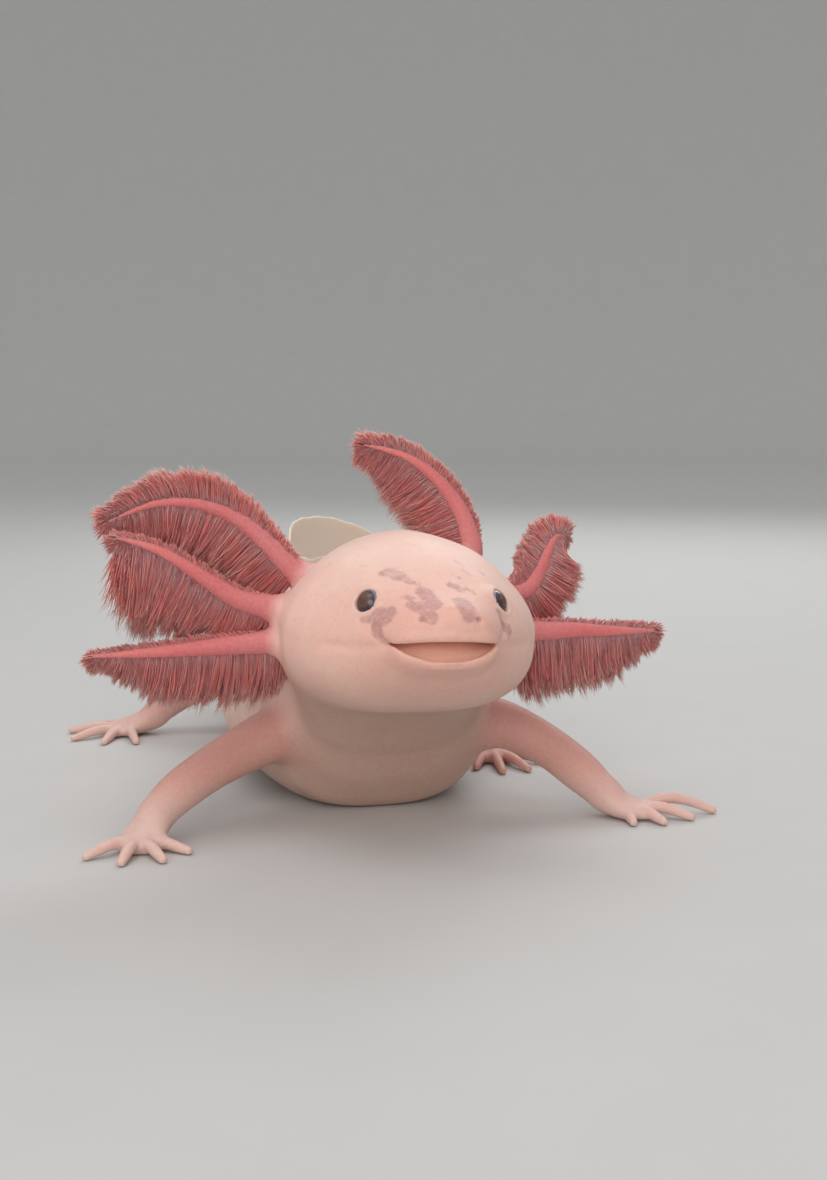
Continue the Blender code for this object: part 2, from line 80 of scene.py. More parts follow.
LEAST_SHRINK = 0.03
FIN_END = 220.0
FIN_ROOT_HALF, FIN_EDGE_HALF = 1.25, 0.42  # half of the fins' thickness

MOUTH_Z = 35.7
MOUTH_HALF = 8.0
MOUTH_OPEN = 2.6
MOUTH_DEPTH = 5.5
MOUTH_SHAPE = 2.7
LIP_DROP = 0.8

EYE_AXIS = (0.74, -0.56, 0.37)  # of the left eye, before the head leans
EYE_R = 2.2
EYE_OPENING = 1.8
LID_THICKNESS = 0.22

# for each limb its points with their radius, its palm's points with half width and half height, and
# for each digit the x and y of its root, those of its tip and the height of its arch
LIMBS = (
    (((13.5, -27, 14.5, 4.8), (18.6, -28.2, 14.2, 4.6), (23, -29.6, 13.2, 4), (28.5, -33.2, 10.2, 3.6),
      (32.4, -37.6, 6.9, 3.5), (34.6, -40.6, 4.6, 3), (35.6, -42, 3.6, 2.6)),
     ((37.2, -43.2, 2.3, 3.4, 2.2), (39, -44, 1.5, 3.9, 1.7), (41.2, -44.6, 1.1, 3.3, 1.2)),
     ((38, -44.4, 37.6, -49.4, 1.4), (40, -44.8, 42.6, -50.2, 1.6), (41, -44.6, 48.2, -48.6, 2),
      (41, -43.4, 53.6, -45.4, 3))),  # left arm and hand
    (((-13.5, -27, 14.5, 4.8), (-18.6, -28.4, 14, 4.6), (-24.5, -31, 12.2, 4), (-30.5, -34.4, 10, 3.6),
      (-35.5, -37.6, 7.6, 3.4), (-38.6, -39.6, 5.4, 3), (-39.8, -40.6, 4.2, 2.6)),
     ((-41, -42, 2.7, 3.4, 2.3), (-41.9, -43.4, 1.6, 4, 1.7), (-42.6, -45.2, 1.1, 3.3, 1.2)),
     ((-40.4, -43.4, -35.2, -47.6, 1.4), (-41.8, -45, -39.4, -51.2, 1.6), (-43, -45, -45.6, -51.2, 1.8),
      (-43.6, -43.6, -50.6, -46.8, 1.8))),  # right arm and hand
    (((11, 37, 15, 5.2), (16, 34.5, 14, 5.2), (21.5, 27.5, 11.8, 4.4), (25.8, 19, 8.6, 3.6),
      (27.4, 12, 5.8, 3), (27.9, 7.4, 3.8, 2.5)),
     ((28.4, 4.6, 2.4, 3.6, 2.1), (28.9, 1.6, 1.5, 4.4, 1.6), (29.6, -1.2, 1.1, 3.8, 1.2)),
     ((27, 0.6, 23.2, -6.4, 1.4), (28.4, -0.8, 27.2, -10.6, 1.5), (30, -1, 32.4, -10.2, 1.6),
      (31.4, 0.4, 37.4, -5.6, 1.6), (31.6, 2.4, 38.6, 1, 1.4))),  # left leg and foot
    (((-10, 35, 15, 5.2), (-15, 36.5, 14.2, 5.2), (-21.5, 38.4, 12.2, 4.4), (-27.4, 40, 9.2, 3.6),
      (-31.6, 41, 5.9, 3), (-33.6, 41.4, 4, 2.5)),
     ((-36.2, 41.8, 2.5, 3.6, 2.2), (-39, 42, 1.5, 4.4, 1.6), (-41.6, 41.8, 1.1, 3.8, 1.2)),
     ((-39, 40.2, -38.2, 31.4, 1.4), (-41.2, 40.6, -44.6, 32.6, 1.5), (-42.2, 41.6, -50.4, 37.8, 1.6),
      (-41.6, 43.4, -50.8, 45.6, 1.6), (-39.4, 44, -44.6, 50.8, 1.4))),  # right leg and foot
)
DIGIT_ROOT_R = 1.15
DIGIT_TIP_R = 0.7

# how widely surfaces flow into each other where flesh meets, and how wide the rounding of edges is
FIN_FILLET = 1.2
LIMB_FILLET = 3.2
PALM_FILLET = 1.4
DIGIT_FILLET = 0.7
STALK_FILLET = 2.6
LID_FILLET = 1.3
LIP_EDGE = 0.34
LID_EDGE = 0.35
FLOOR_EDGE = 0.5

# the stalk's line, the side its long fringe is on, and for each fringe its reach at the root, the middle
# and the tip, its lean backwards, and how far its strands turn along the stalk at the root and at the tip
GILLS = {
    "gill_right_lower": (
        ((-14, -39.6, 31.6), (-19.5, -41.6, 31.8), (-29, -42.4, 31.5), (-39, -41.2, 30.8),
         (-48.4, -39, 30.2)),
        1, (10, 9.2, 3.2, 0.25, -0.12, 0.35), (1.4, 1.6, 1.2, 1, 0.3, 0.5)),
    "gill_right_middle": (
        ((-14, -38.2, 36.6), (-19, -40, 36.9), (-25.8, -40.8, 38.4), (-31.8, -40.4, 42.4),
         (-38.2, -39.8, 46.6), (-44.4, -39, 48.6)),
        1, (6.5, 13.2, 16.8, 0.3, 0.1, -0.42), (1.4, 1.8, 1.4, 0.9, 0.3, 0.5)),
    "gill_right_upper": (
        ((-12.5, -35.4, 40), (-17.2, -36.2, 43), (-20.8, -36, 47), (-24.6, -35.2, 50.4),
         (-30.6, -34.2, 53.2), (-38, -33.4, 53.6), (-45.6, -32.6, 50.6)),
        -1, (3.6, 8, 4.6, 0.25, 0.3, 0.3), (10, 10.5, 4, 0.1, 0.05, 0.1)),
    "gill_left_lower": (
        ((14, -39.6, 31.2), (20, -41.8, 31.8), (28, -42.6, 32), (36, -42.2, 31.6), (44, -41, 31.2)),
        -1, (12, 10.6, 4.4, 0.25, -0.12, 0.3), (1.4, 1.8, 2.2, 1, 0.3, 0.6)),
    "gill_left_middle": (
        ((13, -36.8, 37), (18.2, -38, 37.4), (22.8, -37.4, 38.6), (25.4, -36.2, 41.8), (27.4, -34.4, 45),
         (29.8, -31.8, 46.8), (32.4, -29.2, 46.2)),
        -1, (9, 9.5, 5.5, 0.2, 0.05, 0.2), (3, 5, 4.4, 0.3, 0.35, 0.3)),
    "gill_left_upper": (
        ((10, -35, 40.4), (13.4, -35.4, 43.8), (13, -34.4, 48.4), (11.2, -33.2, 53), (7.6, -31.8, 57.6),
         (3, -30.6, 60.8), (-3, -29.4, 62.4)),
        1, (10.5, 9.8, 4.8, 0.3, -0.1, 0.28), (1.6, 2.6, 3.4, 0.4, 0.35, 0.4)),
}
STALK_BASE_R = 2.5
STALK_TIP_R = 0.4
FRINGE_FROM = 0.2  # share of the stalk that stays bare at its root
LINE_POINTS = 200
EASINGS = 120
STALK_POINTS = 36
FRINGE_POINTS = 160

# ---- how finely the skin is made
GRID = 0.42
BLOCK = 8  # grid points along each side of a block
SKIN_TRIANGLES = 192000
FLOAT = np.float32
FAR = 60.0  # a distance beyond everything


def blend(a, b, t):
    """From a to b while t goes from 0 to 1, level at both ends."""
    t = np.clip(t, 0, 1)
    return a + (b - a) * t * t * (3 - 2 * t)


def rising(value, start, length):
    return blend(0, 1, (value - start) / length)


def fading(value, start, length):
    return blend(1, 0, (value - start) / length)


def bump(distance, width):
    return np.exp(-(distance / width) ** 2)


def soft_min(a, b, k):
    h = np.clip(0.5 + 0.5 * (b - a) / k, 0, 1)
    return b + (a - b) * h - k * h * (1 - h)


def soft_max(a, b, k):
    return -soft_min(-a, -b, k)


def curve(table, column, s):
    """The same smooth line through a table's points as in the solids."""
    xs = np.array([row[0] for row in table], float)
    ys = np.array([row[column] for row in table], float)
    steps = np.diff(xs)
    rates = np.diff(ys) / steps
    slopes = np.zeros(len(xs))
    slopes[0], slopes[-1] = rates[0], rates[-1]
    product = rates[:-1] * rates[1:]
    total = rates[:-1] + rates[1:]
    slopes[1:-1] = np.where(product <= 0, 0, 2 * product / np.where(total == 0, 1, total))
    k = np.clip(np.searchsorted(xs, s, side="right") - 1, 0, len(xs) - 2)
    t = np.clip((s - xs[k]) / steps[k], 0, 1)
    return (ys[k] + steps[k] * slopes[k] * t * (1 - t) ** 2 + (ys[k + 1] - ys[k]) * t * t * (3 - 2 * t)
            - steps[k] * slopes[k + 1] * t * t * (1 - t))


def path(points, count):
    """Points along the Catmull-Rom curve through control points of any number of values."""
    points = np.array(points, float)
    spans = len(points) - 1
    t = np.linspace(0, 1, count)
    k = np.minimum((t * spans).astype(int), spans - 1)
    u = (t * spans - k)[:, None]
    a = points[np.maximum(k - 1, 0)]
    b = points[k]
    c = points[k + 1]
    d = points[np.minimum(k + 2, spans)]
    bent = (2 * a - 5 * b + 4 * c - d) * u * u
    return 0.5 * (2 * b + (c - a) * u + bent + (3 * b - a - 3 * c + d) * u ** 3)


# ---- the table of the body's sections
S_STEP = 0.1
S_FIRST = -1.0
STATIONS = np.arange(S_FIRST, 224.0, S_STEP)
ROUND = 2.0  # exponents of the sections' outline: more is fuller, less is more sloped
HEAD_UPPER, SLOPED_UPPER = 2.05, 1.7
HEAD_LOWER, TRUNK_LOWER = 2.8, 2.7
NO_FIN = -3.0


def end_rounding(s):
    front = np.clip((s - SNOUT_CAP[0]) / SNOUT_CAP[1], 0, 1)
    rear = np.clip((s - TAIL_CAP[0]) / TAIL_CAP[1], 0, 1)
    return np.maximum(np.sqrt(1 - (1 - front) ** 2) * np.sqrt(1 - rear ** 2), LEAST_SHRINK)


def section_table():
    """One row for each station: half width, heights above and below the widest line, that line's height,
    the slopes of these four, the two exponents, the two fins, and the top and bottom before the rounding."""
    s = STATIONS
    top, bottom = curve(BODY, 2, s), curve(BODY, 3, s)
    middle = bottom + (top - bottom) * curve(BODY, 4, s)
    shrink = end_rounding(s)
    half, high, low = curve(BODY, 1, s) * shrink, (top - middle) * shrink, (middle - bottom) * shrink
    lower = blend(blend(HEAD_LOWER, TRUNK_LOWER, (s - 36) / 20), ROUND, (s - 100) / 30)
    upper = blend(blend(HEAD_UPPER, SLOPED_UPPER, (s - 11) / 8), HEAD_UPPER, (s - 28) / 10)
    upper = blend(upper, ROUND, (s - 100) / 30)
    slopes = [np.gradient(column, S_STEP) for column in (half, high, low, middle)]
    fins = [np.where(s < fin[0][0], NO_FIN, curve(fin, 1, s)) for fin in (BACK_FIN, LOWER_FIN)]
    return np.array([half, high, low, middle, *slopes, upper, lower, *fins, top, bottom], FLOAT).T


SECTIONS = section_table()


def sections(s):
    place = np.clip((s - S_FIRST) / S_STEP, 0, len(STATIONS) - 1.01)
    k = place.astype(np.int32)
    w = (place - k)[:, None].astype(FLOAT)
    return (SECTIONS[k] * (1 - w) + SECTIONS[k + 1] * w).T


def straighten(p):
    """Distance from the snout, sideways and up, of points of the animal as it stands."""
    x, y, z = p[:, 0], p[:, 1], p[:, 2]
    past = y - (SNOUT_Y + TURN_START)
    inward = TURN_RADIUS - x
    turned = past > 0
    s = np.where(turned, TURN_START + np.arctan2(past, inward) * TURN_RADIUS, y - SNOUT_Y)
    x = np.where(turned, TURN_RADIUS - np.hypot(inward, past), x)
    angle = blend(HEAD_ROLL, 0, (s - ROLL_FROM) / (ROLL_TO - ROLL_FROM))
    rise = z - ROLL_Z
    return s, x * np.cos(angle) - rise * np.sin(angle), ROLL_Z + rise * np.cos(angle) + x * np.sin(angle)


def body_distance(s, x, z, cut):
    """Distance to the body without fins, head details and limbs."""
    half, high, low, middle, half_by_s, high_by_s, low_by_s, middle_by_s, upper, lower = cut[:10]
    above = z >= middle
    height = np.where(above, high, low)
    height_by_s = np.where(above, high_by_s, low_by_s)
    power = np.where(above, upper, lower)
    u = np.abs(x) / half
    v = np.abs(z - middle) / height
    u_less, v_less = u ** (power - 1), v ** (power - 1)
    share = np.maximum((u_less * u + v_less * v) ** (1 / power), 0.05)
    outer = share ** (1 - power)
    by_x = outer * u_less / half
    by_z = outer * v_less / height
    tilt = np.where(above, -middle_by_s, middle_by_s)
    by_s = v_less * tilt / height - u_less * u * half_by_s / half - v_less * v * height_by_s / height
    by_s = outer * by_s
    distance = (share - 1) / np.sqrt(by_x ** 2 + by_z ** 2 + by_s ** 2 + 1e-6)
    distance = np.clip(distance, -14, 40)
    beyond = s - TAIL_CAP[0] - TAIL_CAP[1]
    distance = np.where(beyond > 0, np.maximum(distance, beyond), distance)
    near = np.flatnonzero((s < SNOUT_PILE) & (distance > 0))
    if len(near):
        piled = snout_distance(s[near], x[near], z[near])
        distance[near] = np.clip(distance[near], piled - 0.15, piled)
    return distance


def snout_distance(s, x, z):
    """Distance to the pile of the first sections, which stays true in front of the blunt snout."""
    best = np.full(len(s), FAR, FLOAT)
    first = np.searchsorted(STATIONS, SNOUT_CAP[0] - 0.01)
    for k in range(first, np.searchsorted(STATIONS, SNOUT_PILE + 0.6)):
        half, high, low, middle = SECTIONS[k, :4]
        upper, lower = SECTIONS[k, 8:10]
        above = z >= middle
        power = np.where(above, upper, lower)
        rise = z - middle
        tall = (np.abs(rise) / np.where(above, high, low)) ** power
        share = ((np.abs(x) / half) ** power + tall) ** (1 / power)
        out = np.hypot(x, rise) * np.maximum(1 - 1 / np.maximum(share, 0.01), 0)
        best = np.minimum(best, np.hypot(out, s - STATIONS[k]))
    return best


def fin_distance(s, x, z, cut):
    """Thin fins above the back and tail and below the tail, gently waved."""
    rise, drop, top, bottom = cut[10:14]
    wave = 0.45 * np.sin(s / 7.5) + 0.2 * np.sin(s / 3.9 + 1)
    edge = 0.16 * np.sin(s / 3.1) + 0.08 * np.sin(s / 1.3 + 2)
    result = np.full(len(s), FAR, FLOAT)
    for reach, height in ((rise, z - top), (drop, bottom - z)):
        grown = reach > -1
        full = np.maximum(reach + edge * np.clip(reach / 6, 0, 1), 0.05)
        share = height / full
        half = blend(np.minimum(FIN_ROOT_HALF, cut[0] + 0.3), FIN_EDGE_HALF, share / 0.7)
        half = half * (0.55 + 0.45 * np.sqrt(np.clip((1 - share) / 0.14, 0, 1)))
        off = wave * np.clip(share, 0, 1.2) ** 1.5 * np.clip(reach / 10, 0, 1)
        distance = np.maximum(np.abs(x - off) - half, height - full)
        distance = np.maximum(distance, -height - 3)
        result = np.where(grown, np.minimum(result, distance), result)
    return np.maximum(result, s - FIN_END + 0.2 * np.minimum(np.abs(z - cut[3]), 4) ** 2)


# ---- limbs and gill stalks
def inside_box(p, low, high):
    return np.flatnonzero(((p > low) & (p < high)).all(1))


class Tube:
    """A chain of tapered lengths, round or wider than high."""

    def __init__(self, points, count, reach=5):
        rows = path(points, count)
        self.centres = rows[:, :3].astype(FLOAT)
        self.half_width = rows[:, 3].astype(FLOAT)
        self.half_height = rows[:, -1].astype(FLOAT)
        margin = float(self.half_width.max()) + reach
        self.low = self.centres.min(0) - margin
        self.high = self.centres.max(0) + margin
        self.flat = bool(np.abs(self.half_width - self.half_height).max() > 0.01)

    def distance(self, p):
        """Distance to the tube and the place along it, from 0 to 1."""
        best = np.full(len(p), FAR, FLOAT)
        place = np.zeros(len(p), FLOAT)
        lengths = len(self.centres) - 1
        for k in range(lengths):
            start, ahead = self.centres[k], self.centres[k + 1] - self.centres[k]
            t = np.clip((p - start) @ ahead / (ahead @ ahead), 0, 1)
            off = p - start - t[:, None] * ahead
            width = self.half_width[k] + (self.half_width[k + 1] - self.half_width[k]) * t
            if self.flat:
                height = self.half_height[k] + (self.half_height[k + 1] - self.half_height[k]) * t
                level = np.array((ahead[1], -ahead[0], 0), FLOAT)
                level /= np.linalg.norm(level)
                sideways = off @ level
                rest = np.sqrt(np.maximum((off ** 2).sum(1) - sideways ** 2, 0))
                share = np.sqrt((sideways / width) ** 2 + (rest / height) ** 2) + 1e-4
                steep = np.sqrt((sideways / width ** 2) ** 2 + (rest / height ** 2) ** 2) / share
                distance = (share - 1) / np.maximum(steep, 0.05)
            else:
                distance = np.sqrt((off ** 2).sum(1)) - width
            closer = distance < best
            best = np.where(closer, distance, best)
            place = np.where(closer, (k + t) / lengths, place)
        return best, place


def digit_rows(root_x, root_y, tip_x, tip_y, arch):
    rows = []
    for share, height, radius in ((0, 1.1, DIGIT_ROOT_R), (0.35, arch, 0.98), (0.7, arch * 0.75, 0.86),
                                  (1, 0.66, DIGIT_TIP_R)):
        rows.append((root_x + (tip_x - root_x) * share, root_y + (tip_y - root_y) * share, height, radius))
    return rows


def limb_tubes():
    """For each limb: the limb itself, its palm, and the rays inside the palm with the digits."""
    groups = []
    for limb, palm, digits in LIMBS:
        wrist = limb[-1]
        rays = []
        for x, y, *_ in digits:
            rays.append(Tube(((wrist[0], wrist[1], wrist[2] * 0.75, 1.3),
                              ((wrist[0] + x) / 2, (wrist[1] + y) / 2, wrist[2] * 0.5 + 0.9, 1.25),
                              (x, y, 1.35, 1.2)), 5, reach=2))
        groups.append((Tube(limb, 18), Tube(((*wrist, wrist[3]), *palm), 9),
                       rays + [Tube(digit_rows(*row), 8, reach=2) for row in digits]))
    return groups


def stalk_line(name, count):
    """Points along a stalk's middle line, with its corners eased."""
    line = path(GILLS[name][0], LINE_POINTS)
    for _ in range(EASINGS):
        line[1:-1] = (line[:-2] + line[1:-1] * 2 + line[2:]) / 4
    place = np.concatenate([[0], np.cumsum(np.linalg.norm(np.diff(line, axis=0), axis=1))])
    even = np.linspace(0, place[-1], count)
    return np.stack([np.interp(even, place, line[:, k]) for k in range(3)], 1)


def stalk_radius(t):
    return STALK_BASE_R + (STALK_TIP_R - STALK_BASE_R) * t


def stalk_tube(name):
    radii = stalk_radius(np.linspace(0, 1, STALK_POINTS))
    return Tube(np.column_stack([stalk_line(name, STALK_POINTS), radii]), STALK_POINTS)


LIMB_TUBES = limb_tubes()
STALK_TUBES = [stalk_tube(name) for name in GILLS]


def join(f, p, tube, k):
    """Adds a tube to the field with a fillet."""
    near = inside_box(p, tube.low, tube.high)
    if len(near):
        f[near] = soft_min(f[near], tube.distance(p[near])[0], k)


def limb_distance(p):
    """All four limbs on their own."""
    f = np.full(len(p), FAR, FLOAT)
    for limb, palm, fingers in LIMB_TUBES:
        near = inside_box(p, np.minimum(limb.low, palm.low) - 8, np.maximum(limb.high, palm.high) + 12)
        if not len(near):
            continue
        q = p[near]
        g = np.full(len(q), FAR, FLOAT)
        join(g, q, limb, 0.1)
        join(g, q, palm, PALM_FILLET)
        for tube in fingers:
            join(g, q, tube, DIGIT_FILLET)
        f[near] = np.minimum(f[near], g)
    return f


# ---- the head's details
def eye_centre(side):
    low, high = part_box("eye_" + side)
    return np.array((low + high) / 2 / MM, FLOAT)


def leaned(direction):
    x, y, z = direction
    c, s = math.cos(HEAD_ROLL), math.sin(HEAD_ROLL)
    return np.array((x * c + z * s, y, z * c - x * s), FLOAT) / np.linalg.norm(direction)


EYES = {"left": (eye_centre("left"), leaned(EYE_AXIS)),
        "right": (eye_centre("right"), leaned((-EYE_AXIS[0], EYE_AXIS[1], EYE_AXIS[2])))}


def upper_lip(x):
    return MOUTH_Z - LIP_DROP * np.minimum(1, np.abs(x) / MOUTH_HALF) ** 2


def lip_gap(x):
    share = np.minimum(1, np.abs(x) / MOUTH_HALF)
    return MOUTH_OPEN * (1 - share ** MOUTH_SHAPE)


def mouth_distance(s, x, z):
    """The open mouth: a low ceiling and a tongue that rises behind the lower lip."""
    front = 3.6 * np.minimum(1, np.abs(x) / MOUTH_HALF) ** 2.2
    depth = s - front
    inside = np.clip(depth / MOUTH_DEPTH, 0, 1)
    gap = lip_gap(x)
    ceiling = upper_lip(x) + 0.6 * rising(depth, 0, 3) * gap / MOUTH_OPEN
    tongue = 2.3 * rising(depth, 0.7, 3) - 0.45 * bump(depth - 0.75, 0.5)
    groove = 0.18 * bump(x, 1.1) * rising(depth, 2, 3)
    floor = upper_lip(x) - gap + (tongue - groove) * gap / MOUTH_OPEN
    d = np.maximum(z - ceiling, floor - z)
    d = np.maximum(d, depth - MOUTH_DEPTH)
    return np.maximum(d, (np.abs(x) - MOUTH_HALF) * 0.7)


def stroke_distance(q, start, end):
    start = np.array(start, FLOAT)
    ahead = np.array(end, FLOAT) - start
    t = np.clip((q - start) @ ahead / (ahead @ ahead), 0, 1)
    return np.linalg.norm(q - start - t[:, None] * ahead, axis=1)


def line_distance(s, x, z, points):
    """Distance to a line through points given as (s, x, z), on both sides of the head."""
    q = np.stack([s, np.abs(x), z], 1)
    return np.min([stroke_distance(q, a, b) for a, b in zip(points, points[1:])], axis=0)


LABIAL_FOLD = ((8.4, 11.8, 38.4), (6.6, 10.2, 36.9), (4.9, 9, 35.6), (4.2, 8.3, 34.7))
JAW_LINE = ((3.8, 8.1, 34.8), (6.5, 10.6, 34), (9.5, 13, 33.6), (13, 15.5, 33.6))
BROW = ((6.6, 6.8, 42.2), (9, 8.6, 43.8), (12, 10.4, 45))
NOSTRIL = (4.2, 38.75)  # sideways and up, on the blunt front
NOSTRIL_SIZE = (0.62, 0.46)


def nostril_share(s, x, z):
    off = np.hypot((np.abs(x) - NOSTRIL[0]) / NOSTRIL_SIZE[0], (z - NOSTRIL[1]) / NOSTRIL_SIZE[1])
    return fading(off, 0.15, 1) * (s < 4)


def head_relief(s, x, z):
    """How far the head's soft forms push the skin out or in."""
    side = np.abs(x)
    lip = upper_lip(x)
    lower = lip - lip_gap(x)
    front = fading(s, 7, 5)
    across = fading(side, 6.6, 3)
    push = 0.32 * bump(x, 7.6) * bump(z - 38.4, 2.8) * fading(s, 3, 6)
    push -= 0.50 * nostril_share(s, x, z)
    push += 0.22 * bump(z - lip - 0.8, 0.75) * front * across
    push += 0.42 * bump(z - lower + 1.2, 1.3) * front * across
    push -= 0.20 * bump(z - lower + 3.7, 1.3) * front * across
    push -= 0.34 * bump(line_distance(s, x, z, LABIAL_FOLD), 0.85)
    push -= 0.26 * bump(line_distance(s, x, z, JAW_LINE), 0.7)
    push += 0.25 * bump(line_distance(s, x, z, BROW), 2)
    push -= 0.25 * bump(x, 2.6) * bump(s - 14, 7) * rising(z, 38, 5)
    push += 0.35 * bump(side - 11.5, 5) * bump(s - 24, 5.5) * rising(z, 40, 6)
    push += 0.40 * bump(side - 15.5, 4.5) * bump(s - 20, 6) * bump(z - 31, 5)
    return push


GILL_SLITS = (34.6, 36.9, 39.2)  # distances from the snout, as is the vent's
RIB_SPACING = 4.7
MUSCLE_SPACING = 4.1
VENT_PLACE = 117.0


def body_relief(s, x, z, cut):
    """Folds of the throat and neck, rib grooves, tail muscle, back furrow and vent."""
    high, low, middle = cut[1:4]
    side = np.abs(x)
    level = (z - middle) / np.where(z > middle, high, low)
    flank = fading(np.abs(level + 0.05), 0.45, 0.4)
    push = -0.25 * bump(s - 36.6 - 0.05 * side, 1.4) * fading(level, -0.15, 0.3)
    push -= 0.22 * bump(s - 41.6, 1) * rising(level, 0.1, 0.4)
    for slit in GILL_SLITS:
        push -= 0.45 * bump(s - slit - 0.12 * (z - 28), 0.42) * bump(z - 27.5, 4.6) * rising(side, 12, 3)
    ribs = (s - 50) / RIB_SPACING + 0.13 * np.sin(s / 5.3)
    inside = rising(s, 55, 6) * fading(s, 108, 6)
    depth = 0.15 + 0.06 * np.sin(s / 3.7 + 0.2 * x)
    push -= depth * np.clip(np.cos(2 * math.pi * (ribs + 0.05 * level)), 0, 1) ** 5 * flank * inside
    tail = rising(s, 114, 8) * fading(s, 205, 12)
    chevron = (s + np.abs(level) * 2.6) / MUSCLE_SPACING
    push -= 0.16 * np.clip(np.cos(2 * math.pi * chevron), 0, 1) ** 5 * tail * fading(np.abs(level), 0.75, 0.2)
    push -= 0.16 * bump(z - middle, 0.5) * tail * rising(side, 0, 1)
    push -= 0.30 * bump(side - 2.6, 1.1) * rising(s, 46, 8) * fading(s, 116, 10) * (level > 0.5)
    push += 0.9 * bump(x, 2.6) * bump(s - VENT_PLACE, 3.4) * (level < -0.3)
    push -= 0.8 * bump(x, 0.35) * bump(s - VENT_PLACE, 2.4) * (level < -0.5)
    return push


def field(p):
    """Signed distance to the skin, millimetres, negative inside."""
    s, x, z = straighten(p)
    s, x, z = s.astype(FLOAT), x.astype(FLOAT), z.astype(FLOAT)
    cut = sections(s)
    f = body_distance(s, x, z, cut)

    def part(condition):
        near = np.flatnonzero(condition)
        return near, s[near], x[near], z[near]

    near, *place = part((s > 33) & (f < 30))
    f[near] = soft_min(f[near], fin_distance(*place, cut[:, near]), FIN_FILLET)
    near, *place = part((s > 28) & (np.abs(f) < 3))
    f[near] -= body_relief(*place, cut[:, near])
    near, *place = part((s < 34) & (np.abs(f) < 4))
    f[near] -= head_relief(*place)
    f = soft_min(f, limb_distance(p), LIMB_FILLET)
    for tube in STALK_TUBES:
        join(f, p, tube, STALK_FILLET)
    near, *place = part((s < 18) & (s > -3) & (np.abs(x) < 12) & (np.abs(z - 35) < 7))
    f[near] = soft_max(f[near], -mouth_distance(*place), LIP_EDGE)
    for centre, axis in EYES.values():
        near = inside_box(p, centre - 6, centre + 6)
        q = p[near] - centre
        along = q @ axis
        across = np.sqrt(np.maximum((q ** 2).sum(1) - along ** 2, 0))
        lid = np.linalg.norm(q, axis=1) - EYE_R - LID_THICKNESS
        g = soft_min(f[near], lid, LID_FILLET)
        f[near] = soft_max(g, -np.maximum(across - EYE_OPENING, 0.4 - along), LID_EDGE)
    return soft_max(f, -p[:, 2], FLOOR_EDGE)


POOL = ThreadPoolExecutor(4)
CHUNK = 120000  # points worked out at a time


def spread(function, p):
    """A function of many points, worked out in parts."""
    parts = [p[k:k + CHUNK] for k in range(0, len(p), CHUNK)]
    return np.concatenate(list(POOL.map(function, parts)))


# ---- from the field to a mesh
# the corners of the box that is searched for skin
LOW = np.array((-54.0, -75.0, -1.0))
HIGH = np.array((58.0, 129.0, 67.0))


def sampled():
    """The field on a grid, worked out finely only in the blocks that the skin crosses."""
    blocks = np.ceil((HIGH - LOW) / (GRID * BLOCK)).astype(int)
    index = np.indices(blocks).reshape(3, -1).T
    middles = (LOW + (index * BLOCK + (BLOCK - 1) / 2) * GRID).astype(FLOAT)
    rough = spread(field, middles)
    reach = GRID * BLOCK * math.sqrt(3) / 2
    chosen = np.abs(rough) < reach * 1.35 + 0.8
    grid = rough.reshape(blocks).repeat(BLOCK, 0).repeat(BLOCK, 1).repeat(BLOCK, 2)
    inner = np.indices([BLOCK] * 3).reshape(3, -1).T
    cells = (index[chosen][:, None] * BLOCK + inner).reshape(-1, 3)
    grid[tuple(cells.T)] = spread(field, (LOW + cells * GRID).astype(FLOAT))
    return grid


def surface_nets(grid):
    """A quad mesh along the field's zero level."""
    inside = grid < 0
    count = np.zeros([n - 1 for n in grid.shape], np.uint8)
    corners = list(np.ndindex(2, 2, 2))
    nx, ny, nz = count.shape
    for a, b, c in corners:
        count += inside[a:a + nx, b:b + ny, c:c + nz]
    cells = np.argwhere((count > 0) & (count < 8))
    total = np.zeros((len(cells), 3))
    hits = np.zeros(len(cells))
    values = {corner: grid[tuple((cells + corner).T)] for corner in corners}
    for corner in corners:
        for axis in range(3):
            if corner[axis]:
                continue
            other = tuple(1 if k == axis else corner[k] for k in range(3))
            a, b = values[corner], values[other]
            crossed = (a < 0) != (b < 0)
            t = np.where(crossed, a / np.where(crossed, a - b, 1), 0)
            total += (corner + t[:, None] * np.eye(3)[axis]) * crossed[:, None]
            hits += crossed
    points = LOW + (cells + total / hits[:, None]) * GRID
    number = np.full(count.shape, -1, np.int32)
    number[tuple(cells.T)] = np.arange(len(cells))
    quads = []
    for axis in range(3):
        ahead, one, two = np.roll(np.eye(3, dtype=int), -axis, 0)
        a, b = [inside[tuple(along if k == axis else slice(1, -1) for k in range(3))]
                for along in (slice(0, -1), slice(1, None))]
        place = np.argwhere(a != b)
        leaving = a[tuple(place.T)]
        place = place + 1 - ahead
        quad = np.stack([number[tuple((place - u * one - v * two).T)]
                         for u, v in ((0, 0), (1, 0), (1, 1), (0, 1))], 1)
        quads.append(np.where(leaving[:, None], quad, quad[:, ::-1]))
    return points, np.concatenate(quads)


SLOPE_STEP = 0.05
LARGEST_MOVE = 0.3


def settle(points):
    """Moves the mesh's points onto the skin itself."""
    p = points.astype(FLOAT)
    steps = np.eye(3, dtype=FLOAT) * SLOPE_STEP
    rises = [spread(field, p + step) - spread(field, p - step) for step in steps]
    slope = np.stack(rises, 1) / (2 * SLOPE_STEP)
    size = np.maximum((slope ** 2).sum(1), 0.25)
    move = np.clip(spread(field, p) / size, -LARGEST_MOVE, LARGEST_MOVE)
    return p - slope * move[:, None]


def show(name, data):
    obj = bpy.data.objects.new(name, data)
    bpy.context.scene.collection.objects.link(obj)
    return obj


